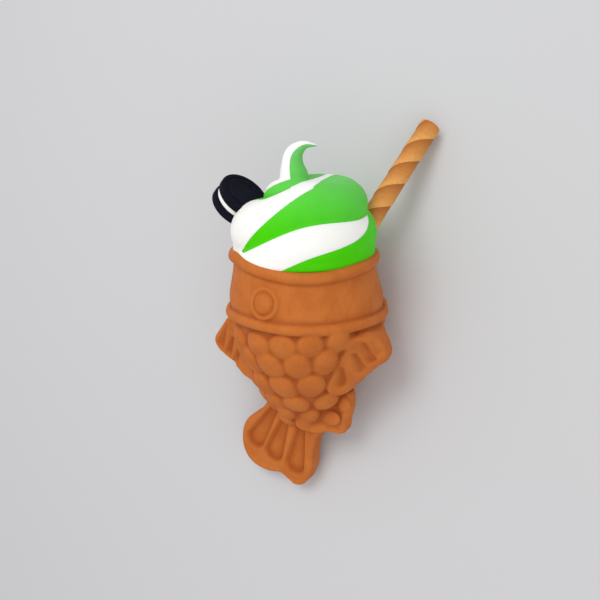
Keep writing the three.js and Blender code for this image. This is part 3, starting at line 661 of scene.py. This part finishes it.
# The ice cream that fills the mouth reaches this far, and less far front and behind.
FILLING = {"radius": 37.5, "less": 0.8, "top": 3.8, "edge": 3.6, "blend": 4}
CORE = {"radius": 13, "middle": 4, "half": 26, "edge": 6, "blend": 2}
MOUTH_GAP = 0.3
LIP_TOP = -0.8
# The level top beside the peak, and the green on it and the white that runs across that,
# to the right and towards the front at that height. Both slant with the camera's view.
CROWN = {"middle": (8, -1), "radius": 18, "top": 37.8, "edge": 4.5, "blend": 2}
CROWN_GREEN = [
    (-3, 12.2), (-1.2, 7.8), (4.8, -1.3), (8.7, -8.1), (12, -13), (14.8, -12),
    (14.4, -10.8), (11, -2.2), (7.7, 7.2), (4.5, 19), (4, 30), (14, 30), (23, 12), (23, -6),
    (17, -17), (8, -20), (0, -24), (-3.8, -20), (-5.6, -14), (-6.2, -9), (-6.2, -7.5),
    (-3.5, -5), (-3, 2),
]
CROWN_WHITE = [
    (-7, 22.1), (-1.2, 7.8), (4.8, -1.3), (8.7, -8.1), (12, -16), (17.5, -15),
    (14.4, -10.8), (11, -2.2), (7.7, 7.2), (4.5, 19), (0.1, 34.9),
]
# The green behind the crown, where the white that runs across it ends.
CROWN_BACK = [(6, -17.8), (22, -11.4), (26, -20), (10, -28)]
CROWN_DEPTH = (36, 41.5)
BACK_DEPTH = (34, 39)
CROWN_SLANT = 5.4  # how much nearer the front for each millimetre up

# The peak, from its foot to the curled tip: to the right, height, radius.
PEAK = [
    (-4.2, 31, 8.1),
    (-5, 38, 7.6),
    (-6, 44.6, 5.8),
    (-5.5, 50, 4.7),
    (-3.1, 53.3, 3.4),
    (0.7, 55.3, 1.9),
    (6.3, 55, 0.5),
]
PEAK_RIGHT, PEAK_HEIGHT, PEAK_THICK = (
    [(i, row[key]) for i, row in enumerate(PEAK)] for key in range(3)
)
PEAK_END = len(PEAK) - 1
PEAK_SPACE = ((-22, -22, 20), (22, 22, 60))
PEAK_BLEND = 1.5
PEAK_BALLS = 73
PEAK_SECTIONS = 49
PEAK_PAST = 1  # how much further the peak's green reaches than PROUD says
PEAK_SPLIT = 0.24  # how far left of the peak's middle its green starts, of its radius
PEAK_NEAR = 0.05  # rows before and after a place that tell the peak's direction there
ICE_SHARP = math.radians(50)


def rope_field(x, y, z):
    around = np.arctan2(y, x)
    ring = np.hypot(x, y)
    turns = (around - FRONT - ROPE_START) / TURN
    first = (turns - np.floor(turns)) * TURN_ROWS
    whole = None
    for turn in range(TURNS):
        row = np.minimum(first + turn * TURN_ROWS, ROPE_END)
        thick = along(ROPE_THICK, row)
        if turn == 0:
            thick = thick * (FIRST_THICK + (1 - FIRST_THICK) * smooth_step(row, 0, ROPE_FADE))
        if turn == TURNS - 1:
            thick = thick * (1 - (1 - LAST_THICK) * smooth_step(first, *LAST_FADE))
        distance = np.hypot(ring - along(ROPE_RADIUS, row), z - along(ROPE_HEIGHT, row)) - thick
        whole = distance if whole is None else smooth_min(whole, distance, ROPE_BLEND)
    return whole


def peak_field(x, y, z):
    whole = np.full(np.broadcast(x, y, z).shape, 1e9, np.float32)
    for row in np.linspace(0, PEAK_END, PEAK_BALLS):
        centre = from_front(along(PEAK_RIGHT, row), 0, along(PEAK_HEIGHT, row))
        away = np.sqrt((x - centre.x) ** 2 + (y - centre.y) ** 2 + (z - centre.z) ** 2)
        whole = np.minimum(whole, away - along(PEAK_THICK, row))
    return whole


def make_swirl():
    field = Field(*ICE_SPACE, ICE_STEP)
    x, y, z = field.whole()
    field.values[:] = rope_field(x, y, z)
    ring = np.hypot(x, y)
    ends = np.abs(z - CORE["middle"]) - CORE["half"]
    core = rounded_corner(ring - CORE["radius"], ends, CORE["edge"])
    field.values[:] = smooth_min(field.values, core, CORE["blend"])
    towards = (x * math.cos(FRONT) + y * math.sin(FRONT)) / np.maximum(ring, 1)
    filled = FILLING["radius"] - FILLING["less"] * towards**2
    filling = rounded_corner(ring - filled, z - FILLING["top"], FILLING["edge"])
    field.values[:] = smooth_min(field.values, filling, FILLING["blend"])
    middle = from_front(*CROWN["middle"], 0)
    aside = np.hypot(x - middle.x, y - middle.y) - CROWN["radius"]
    crown = rounded_corner(aside, z - CROWN["top"], CROWN["edge"])
    field.values[:] = smooth_min(field.values, crown, CROWN["blend"])
    field.add(*PEAK_SPACE, peak_field, PEAK_BLEND)
    mouth = np.maximum(ring - RECESS_RADIUS + MOUTH_GAP, -RECESS_DEPTH + MOUTH_GAP - z)
    above = LIP_TOP - z
    field.values[:] = np.maximum(field.values, np.minimum(mouth, above))
    return field.mesh()


def rope_section(row):
    middle = np.array([along(ROPE_RADIUS, row), along(ROPE_HEIGHT, row)])
    return middle, float(along(ROPE_THICK, row)), math.radians(along(ROPE_EDGE, row))


def unit(heading):
    return np.array([math.cos(heading), math.sin(heading)])


def on_section(row, heading):
    middle, thick, _ = rope_section(row)
    return middle + thick * unit(heading)


def crease(row):
    """Where the outsides of a turn and of the turn above it meet."""
    lower, lower_thick, _ = rope_section(row)
    upper, upper_thick, _ = rope_section(row + TURN_ROWS)
    apart = upper - lower
    distance = math.hypot(*apart)
    share = (lower_thick**2 - upper_thick**2 + distance**2) / (2 * distance)
    aside = math.sqrt(max(lower_thick**2 - share**2, 0))
    apart = apart / distance
    return lower + aside * np.array([apart[1], -apart[0]]) + share * apart


def high_edge(row):
    top_turn = ROPE_END - TURN_ROWS
    if row < ROPE_FADE:
        part = smooth_step(row, 0, ROPE_FADE)
        return on_section(row + TURN_ROWS, ROPE_FOOT) * (1 - part) + crease(row) * part
    if row < top_turn:
        part = smooth_step(row, top_turn - ROPE_FADE, top_turn)
        return crease(row) * (1 - part) + on_section(row, ROPE_CAP) * part
    end = smooth_step(row, ROPE_END - ROPE_FADE, ROPE_END)
    cap = on_section(row, ROPE_CAP)
    return cap * (1 - end) + high_edge(row - TURN_ROWS) * end if end > 0 else cap


def low_edge(row):
    if row >= TURN_ROWS:
        return high_edge(row - TURN_ROWS)
    part = smooth_step(row, 0, ROPE_FADE)
    return high_edge(row) * (1 - part) + on_section(row, ROPE_FOOT) * part


def green_angles(row):
    """The headings that the green shows between in a section, and how much it shows."""
    middle, _, edge = rope_section(row)
    start, end = (
        math.atan2(*(point - middle)[::-1]) for point in (low_edge(row), high_edge(row))
    )
    lead = (edge - start) % TURN + start
    trail = lead - math.pi
    if trail < end:
        return max(trail, start), min(lead, end), 1
    part = (trail - end) / (math.pi + start - end)
    heading = end + (start - end) * part
    hidden = min(trail - end, start + TURN - lead)
    return heading, heading, max(1 - hidden / NEARLY_SHOWN, 0)


def green_section(row):
    """The green's section at a row, as points of space."""
    middle, thick, _ = rope_section(row)
    start, end, shows = green_angles(row)
    reach = THREAD_RADIUS + (PROUD * thick - THREAD_RADIUS) * shows

    def beside(heading, ahead, aside):
        across = np.array([-math.sin(heading), math.cos(heading)])
        return middle + ahead * unit(heading) + aside * across

    points = [beside((start + end) / 2, -THREAD_RADIUS, 0), beside(start, 0, -THREAD_RADIUS)]
    for share in np.linspace(-1, 1, GREEN_ARC):
        heading = start + (end - start) * (share + 1) / 2
        points.append(beside(heading, reach, share * BLADE))
    points.append(beside(end, 0, THREAD_RADIUS))
    heading = FRONT + ROPE_START + row / TURN_ROWS * TURN
    return [(x * math.cos(heading), x * math.sin(heading), z) for x, z in points]


def lofted(sections):
    """The points and faces of a closed skin over sections of as many points each."""
    count = len(sections[0])
    points = [point for section in sections for point in section]
    faces = []
    for i in range(len(sections) - 1):
        for j in range(count):
            k = (j + 1) % count
            faces.append((i * count + j, i * count + k, (i + 1) * count + k, (i + 1) * count + j))
    faces.append(tuple(range(count))[::-1])
    last = (len(sections) - 1) * count
    faces.append(tuple(range(last, last + count)))
    return points, faces


def make_closed(name, points, faces):
    """An object whose faces all point outwards and have three corners."""
    made = make_object(name, points, faces)
    work = bmesh.new()
    work.from_mesh(made.data)
    bmesh.ops.triangulate(work, faces=work.faces[:])
    bmesh.ops.recalc_face_normals(work, faces=work.faces[:])
    work.to_mesh(made.data)
    work.free()
    return made


def cut(target, tool, operation):
    """Joins a tool to a target, cuts it away, or keeps what they share."""
    modifier = target.modifiers.new("cut", "BOOLEAN")
    modifier.object = tool
    modifier.operation = operation
    modifier.solver = "MANIFOLD"
    graph = bpy.context.evaluated_depsgraph_get()
    mesh = bpy.data.meshes.new_from_object(target.evaluated_get(graph))
    target.modifiers.clear()
    target.data = mesh


def crown_block(outline, heights, slant):
    """Sections of the space over an outline, which slants towards the front going up."""
    return [
        [
            from_front(right, towards + slant * (height - CROWN["top"]), height)
            for right, towards in outline
        ]
        for height in heights
    ]


def make_green_share():
    """The space that is green: along the rope, on the crown, and the peak's right side."""
    share = None
    for first, last in GREEN_PARTS:
        rows = np.linspace(first, last, (last - first) * GREEN_STEPS + 1)
        piece = make_closed("green_share", *lofted([green_section(row) for row in rows]))
        if share is None:
            share = piece
        else:
            cut(share, piece, "UNION")
            bpy.data.objects.remove(piece)
    sections = []
    for row in np.linspace(0, PEAK_END, PEAK_SECTIONS):
        before, after = row - PEAK_NEAR, row + PEAK_NEAR
        ahead = unit(
            math.atan2(
                along(PEAK_HEIGHT, after) - along(PEAK_HEIGHT, before),
                along(PEAK_RIGHT, after) - along(PEAK_RIGHT, before),
            )
        )
        right, height = along(PEAK_RIGHT, row), along(PEAK_HEIGHT, row)
        thick = along(PEAK_THICK, row)
        split, past = -PEAK_SPLIT * thick, PROUD * thick + PEAK_PAST
        sections.append(
            [
                from_front(right + across * ahead[1], deep, height - across * ahead[0])
                for across, deep in ((split, past), (past, past), (past, -past), (split, -past))
            ]
        )
    for part, operation in (
        (crown_block(CROWN_GREEN, CROWN_DEPTH, CROWN_SLANT), "UNION"),
        (sections, "UNION"),
        (crown_block(CROWN_WHITE, CROWN_DEPTH, CROWN_SLANT), "DIFFERENCE"),
        (crown_block(CROWN_BACK, BACK_DEPTH, 0), "UNION"),
    ):
        side = make_closed("side", *lofted(part))
        cut(share, side, operation)
        bpy.data.objects.remove(side)
    return share


def make_ice_cream():
    points, faces = make_swirl()
    white = make_closed("ice_cream_twist_white", points, faces)
    green = make_closed("ice_cream_twist_green", points, faces)
    share = make_green_share()
    cut(white, share, "DIFFERENCE")
    cut(green, share, "INTERSECT")
    bpy.data.objects.remove(share)
    for piece in (white, green):
        piece.data.shade_smooth()
        piece.data.set_sharp_from_angle(angle=ICE_SHARP)
    return white, green


# ---------------------------------------------------------------- biscuit and wafer

BISCUIT = {"radius": 14.1, "wafer": 4.4, "cream": 2.8, "cream_radius": 13.2}
BISCUIT_SHOWN = BISCUIT_CENTRE - Vector((0, 0, 1.2))
BISCUIT_GAP = 0.3  # between the solids of cream and wafer, which the filling closes
BISCUIT_SHARP = math.radians(40)
WAFER_EDGE = 0.35
CREAM_EDGE = 1.2
CREAM_BULGE = 0.6
ROUND_SIDES = 96
HUB = 0.01  # radius at the middle of a turned face
ARC_STEPS = {"wafer": 3, "cream": 5}
ARC_SPACING = 2.01  # over 2, so that two arcs on one side don't meet
# The wafer's face, from its rim inwards: how far in from the rim, and how far down.
EMBOSSING = [(0.6, 0), (2, 0), (2.6, 0.7), (3.6, 0.7), (4.2, 0.1), (5.2, 0.1), (5.7, 0.6)]
ROLL_STEPS = 420
ROLL_SHARP = math.radians(50)
LAP_EDGE = 0.96  # share of a strip's width where it starts to rise to the next
# The rolled wafer leaves the ice cream at start, and above is its length from there. The
# strips overlap by that much, and phase is where their edges lie at its free end.
ROLL = {
    "radius": 5.9,
    "length": 104,
    "overlap": 0.4,
    "pitch": 30.2,
    "start": from_front(34.2, -6, 13),
    "axis": from_front(0.5358, -0.4325, 0.7262).normalized(),
    "above": 65.9,
    "phase": math.radians(257),
}


def aimed(points, axis, centre):
    """Points made about z, turned so that z points along axis, and moved to centre."""
    turn = np.array(Vector((0, 0, 1)).rotation_difference(axis).to_matrix())
    return np.asarray(points, float).reshape(-1, 3) @ turn.T + np.array(centre)


def turned(profile):
    """A closed skin of revolution about z, from [radius, height] points."""
    angles = np.arange(ROUND_SIDES) / ROUND_SIDES * TURN
    sections = []
    for radius, height in profile:
        up = np.full(ROUND_SIDES, float(height))
        sections.append(np.stack([radius * np.cos(angles), radius * np.sin(angles), up], 1))
    points, faces = lofted(sections)
    return np.array([tuple(p) for p in points]), faces


def rounded_profile(points, edge, steps):
    """The same profile with each inner corner cut by a small arc."""
    p = [np.array(q, float) for q in points]
    result = [p[0]]
    for before, here, after in zip(p, p[1:], p[2:]):
        back, ahead = before - here, after - here
        sides = (np.linalg.norm(back), np.linalg.norm(ahead))
        reach = min(edge, *(side / ARC_SPACING for side in sides))
        start = here + back / np.linalg.norm(back) * reach
        end = here + ahead / np.linalg.norm(ahead) * reach
        for t in np.linspace(0, 1, steps + 1):
            result.append((1 - t) ** 2 * start + 2 * t * (1 - t) * here + t**2 * end)
    result.append(p[-1])
    return result


def make_biscuit():
    radius, wafer = BISCUIT["radius"], BISCUIT["wafer"]
    profile = [(HUB, 0), (radius - 0.5, 0), (radius, 0.6), (radius, wafer - 0.7)]
    profile += [(radius - inwards, wafer - down) for inwards, down in EMBOSSING]
    profile.append((HUB, wafer - EMBOSSING[-1][1]))
    half = BISCUIT["cream"] / 2 + BISCUIT_GAP
    pieces = []
    for name, side in (("biscuit_wafer_front", 1), ("biscuit_wafer_back", -1)):
        points, faces = turned(rounded_profile(profile, WAFER_EDGE, ARC_STEPS["wafer"]))
        points[:, 2] = side * (points[:, 2] + half)
        placed = aimed(points, BISCUIT_AXIS, BISCUIT_SHOWN)
        pieces.append(make_closed(name, placed, faces))
    edge = BISCUIT["cream_radius"]
    inner = edge - CREAM_BULGE
    layer = [(HUB, -half), (inner, -half), (edge, 0), (inner, half), (HUB, half)]
    points, faces = turned(rounded_profile(layer, CREAM_EDGE, ARC_STEPS["cream"]))
    placed = aimed(points, BISCUIT_AXIS, BISCUIT_SHOWN)
    pieces.append(make_closed("biscuit_filling", placed, faces))
    for piece in pieces:
        piece.data.shade_smooth()
        piece.data.set_sharp_from_angle(angle=BISCUIT_SHARP)
    return pieces


def make_roll():
    """A rolled wafer: two strips wound round it, each sinking in under the next."""
    left = np.arange(ROUND_SIDES) / ROUND_SIDES * 2
    left = left - np.floor(left)
    lap = left * (1 - smooth_step(left, LAP_EDGE, 1))
    radius = ROLL["radius"] - ROLL["overlap"] * lap
    angles = -np.arange(ROUND_SIDES) / ROUND_SIDES * TURN
    sections = []
    for up in np.arange(ROLL_STEPS + 1) / ROLL_STEPS * ROLL["length"]:
        around = angles + ROLL["phase"] + (up - ROLL["length"]) / ROLL["pitch"] * TURN
        level = np.full(ROUND_SIDES, up)
        sections.append(np.stack([radius * np.cos(around), radius * np.sin(around), level], 1))
    points, faces = lofted(sections)
    foot = ROLL["start"] + ROLL["axis"] * (ROLL["above"] - ROLL["length"])
    made = make_closed("wafer_stick", aimed([tuple(p) for p in points], ROLL["axis"], foot), faces)
    made.data.shade_smooth()
    made.data.set_sharp_from_angle(angle=ROLL_SHARP)
    # The share across each strip, from which its material paints a highlight on the proud edge and
    # shade where it sinks under the next strip.
    mark(made, "lap_light_and_shade", np.tile(left, ROLL_STEPS + 1))
    return made


# ---------------------------------------------------------------- materials


def srgb(red, green, blue):
    """A colour given in 0 to 255 display values, as linear light."""
    shares = [value / 255 for value in (red, green, blue)]
    linear = [c / 12.92 if c < 0.04045 else ((c + 0.055) / 1.055) ** 2.4 for c in shares]
    return (*linear, 1)


class Finish:
    """A material being put together from nodes."""

    def __init__(self, name, roughness, specular=0.25):
        self.material = bpy.data.materials.new(name)
        self.material.use_nodes = True
        self.tree = self.material.node_tree
        self.shader = self.tree.nodes["Principled BSDF"]
        self.shader.inputs["Roughness"].default_value = roughness
        self.shader.inputs["Specular IOR Level"].default_value = specular
        self.place = self.tree.nodes.new("ShaderNodeTexCoord").outputs["Object"]

    def node(self, kind, settings=(), **inputs):
        made = self.tree.nodes.new(kind)
        for key, value in dict(settings).items():
            setattr(made, key, value)
        for key, value in inputs.items():
            socket = made.inputs[int(key[1:]) if key[1:].isdigit() else key.replace("_", " ")]
            if isinstance(value, bpy.types.NodeSocket):
                self.tree.links.new(value, socket)
            else:
                socket.default_value = value
        return made

    def marked(self, name):
        """The number that each point was marked with."""
        return self.node("ShaderNodeAttribute", {"attribute_name": name}).outputs["Fac"]

    def noise(self, cell, detail=3, roughness=0.5, stretch=1):
        """Noise whose spots are cell millimetres across, and longer along Y by stretch."""
        mapping = self.node("ShaderNodeMapping", _0=self.place, Scale=(1, 1 / stretch, 1))
        made = self.node(
            "ShaderNodeTexNoise",
            Vector=mapping.outputs["Vector"],
            Scale=1 / (cell * MM),
            Detail=detail,
            Roughness=roughness,
        )
        return made.outputs["Fac"]

    def spread(self, value, low, high, start=0.0, end=1.0):
        made = self.node(
            "ShaderNodeMapRange",
            {"interpolation_type": "SMOOTHSTEP"},
            Value=value,
            From_Min=low,
            From_Max=high,
            To_Min=start,
            To_Max=end,
        )
        return made.outputs["Result"]

    def mix(self, factor, first, second):
        made = self.node("ShaderNodeMix", {"data_type": "RGBA"})
        for key, value in ((0, factor), (6, first), (7, second)):
            if isinstance(value, bpy.types.NodeSocket):
                self.tree.links.new(value, made.inputs[key])
            else:
                made.inputs[key].default_value = value
        return made.outputs[2]

    def hollow(self, distance):
        """Ambient occlusion for painted shade: 1 in the open, towards 0 in narrow hollows."""
        made = self.node("ShaderNodeAmbientOcclusion", {"samples": 8}, Distance=distance * MM)
        return made.outputs["AO"]

    def colour(self, socket):
        self.tree.links.new(socket, self.shader.inputs["Base Color"])

    def bump(self, height, strength, distance):
        made = self.node("ShaderNodeBump", Height=height, Strength=strength, Distance=distance * MM)
        self.tree.links.new(made.outputs["Normal"], self.shader.inputs["Normal"])

    def rough(self, socket):
        self.tree.links.new(socket, self.shader.inputs["Roughness"])


# Display colours low down, at the top, which is paler as painted light from above, and in hollows,
# as painted shade, which also tints random mottling.
VANILLA = ((252, 251, 246), (255, 255, 255), (232, 228, 214))
GREEN_TEA = ((76, 214, 0), (126, 204, 126), (52, 168, 2))
BISCUIT_CREAM = ((250, 249, 245), (255, 255, 255), (230, 226, 214))
# Heights over which painted light from above makes the ice cream paler towards the top.
PAINTED_TOP_LIGHT_HEIGHTS = (0.03, 0.1)  # along Y in the row frame, in metres, from low down to the top


def cake_material():
    finish = Finish("baked_cake", 0.62, 0.2)
    # base and pale give random patches, and pale also paints the highlight on edges; dark gives
    # grain and also paints the shade in creases and hollows.
    base = srgb(189, 102, 38)
    pale = srgb(198, 112, 46)
    dark = srgb(162, 78, 25)
    broad = finish.spread(finish.noise(12), 0.34, 0.66)
    colour = finish.mix(broad, base, pale)
    grain = finish.spread(finish.noise(1.1, 3, 0.5, 6), 0.42, 0.75, 0, 0.2)
    colour = finish.mix(grain, colour, dark)
    # Painted highlight: paler on ridges, edges and dome tops.
    edge = finish.spread(finish.marked("crease"), 0.32, 0.48, 0.7, 0)
    colour = finish.mix(edge, colour, pale)
    # Painted shade: darker in hollows and in creases.
    hollow = finish.spread(finish.marked("hollow"), 0.48, 0.64, 0, 0.75)
    colour = finish.mix(hollow, colour, dark)
    crease = finish.spread(finish.marked("crease"), 0.5, 0.72, 0, 0.75)
    colour = finish.mix(crease, colour, dark)
    finish.colour(colour)
    finish.bump(finish.noise(1.1, 4, 0.6), 0.3, 0.2)
    finish.rough(finish.spread(finish.noise(5), 0.3, 0.7, 0.55, 0.75))
    return finish.material


def ice_material(name, colours):
    low, high, hollow = (srgb(*colour) for colour in colours)
    finish = Finish(name, 0.5, 0.08)
    height = finish.node("ShaderNodeSeparateXYZ", _0=finish.place).outputs["Y"]
    # Painted light: paler towards the top, as if lit from above.
    colour = finish.mix(finish.spread(height, *PAINTED_TOP_LIGHT_HEIGHTS), low, high)
    mottled = finish.mix(0.06, colour, hollow)
    colour = finish.mix(finish.spread(finish.noise(6), 0.4, 0.65), colour, mottled)
    # Painted shade: darker in hollows, from ambient occlusion.
    colour = finish.mix(finish.spread(finish.hollow(7), 0.3, 0.9), hollow, colour)
    finish.colour(colour)
    finish.shader.inputs["Subsurface Weight"].default_value = 0.25
    finish.shader.inputs["Subsurface Radius"].default_value = (1.0, 1.0, 0.8)
    finish.shader.inputs["Subsurface Scale"].default_value = 2 * MM
    finish.bump(finish.noise(1.6, 3, 0.5), 0.12, 0.2)
    return finish.material


def chocolate_material():
    finish = Finish("dark_biscuit", 0.75, 0.12)
    base = srgb(6, 7, 22)
    pale = srgb(19, 20, 40)
    colour = finish.mix(finish.spread(finish.noise(1.1, 4, 0.65), 0.42, 0.7), base, pale)
    finish.colour(colour)
    finish.bump(finish.noise(0.5, 4, 0.65), 0.4, 0.3)
    return finish.material


def roll_material():
    finish = Finish("rolled_wafer", 0.6)
    # pale paints the highlight on each strip's proud edge; dark paints the shade under the next
    # strip and also gives random mottling.
    base = srgb(208, 138, 66)
    pale = srgb(231, 165, 90)
    dark = srgb(166, 94, 36)
    # Painted highlight on each strip's proud edge, turning to painted shade where it sinks in under
    # the next strip.
    lap = finish.marked("lap_light_and_shade")
    colour = finish.mix(finish.spread(lap, 0, 0.5), pale, base)
    colour = finish.mix(finish.spread(lap, 0.4, 1, 0, 0.8), colour, dark)
    mottled = finish.spread(finish.noise(2.2, 4, 0.6), 0.45, 0.75, 0, 0.3)
    colour = finish.mix(mottled, colour, dark)
    finish.colour(colour)
    finish.bump(finish.noise(0.7, 4, 0.6), 0.2, 0.15)
    return finish.material


# ---------------------------------------------------------------- stage

FLOOR_SIZE = 4
FLOOR_DROP = 0.0002  # below the object, so that their faces don't meet
FLOOR_COLOUR = (206, 206, 208)
WORLD_STRENGTH = 0.68
LAMPS = (("key", (-0.1, 0.4, 0.9), 0.5, 3.5), ("fill", (0.6, -0.5, 0.6), 0.8, 1.4))
LIT = (0, 0, 0.03)  # where the lamps point


def stage_material():
    finish = Finish("floor", 0.7)
    finish.shader.inputs["Base Color"].default_value = srgb(*FLOOR_COLOUR)
    return finish.material


def make_stage():
    bpy.ops.mesh.primitive_plane_add(size=FLOOR_SIZE, location=(0, 0, -FLOOR_DROP))
    floor = bpy.context.object
    floor.name = "floor"
    floor.data.materials.append(stage_material())
    world = bpy.data.worlds.new("studio")
    bpy.context.scene.world = world
    world.use_nodes = True
    background = world.node_tree.nodes["Background"]
    background.inputs["Color"].default_value = (1, 1, 1, 1)
    background.inputs["Strength"].default_value = WORLD_STRENGTH
    for name, spot, size, power in LAMPS:
        data = bpy.data.lights.new(name, "AREA")
        data.size = size
        data.energy = power
        lamp = bpy.data.objects.new(name, data)
        lamp.location = spot
        aim = Vector(LIT) - Vector(spot)
        lamp.rotation_euler = aim.to_track_quat("-Z", "Y").to_euler()
        bpy.context.scene.collection.objects.link(lamp)
    bpy.context.scene.view_settings.view_transform = "Standard"


# ---------------------------------------------------------------- assembly


def finish_piece(piece, material, slot, *nodes):
    """Gives a piece its finish, and has it stand for CAD nodes."""
    piece.data.materials.clear()
    piece.data.materials.append(material)
    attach(piece, "root")
    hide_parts(*nodes)


make_camera()
make_stage()
finish_piece(make_cake(), cake_material(), "cake", "cake")
white, green = make_ice_cream()
finish_piece(white, ice_material("vanilla", VANILLA), "ice_cream_white", "ice_cream_white")
finish_piece(green, ice_material("green_tea", GREEN_TEA), "ice_cream_green", "ice_cream_green")
chocolate = chocolate_material()
front, back, filling = make_biscuit()
finish_piece(front, chocolate, "chocolate_biscuit", "biscuit_outer_wafer")
finish_piece(back, chocolate, "chocolate_biscuit", "biscuit_inner_wafer")
cream = ice_material("biscuit_cream", BISCUIT_CREAM)
finish_piece(filling, cream, "biscuit_cream", "biscuit_cream")
finish_piece(make_roll(), roll_material(), "rolled_wafer", "wafer_roll")
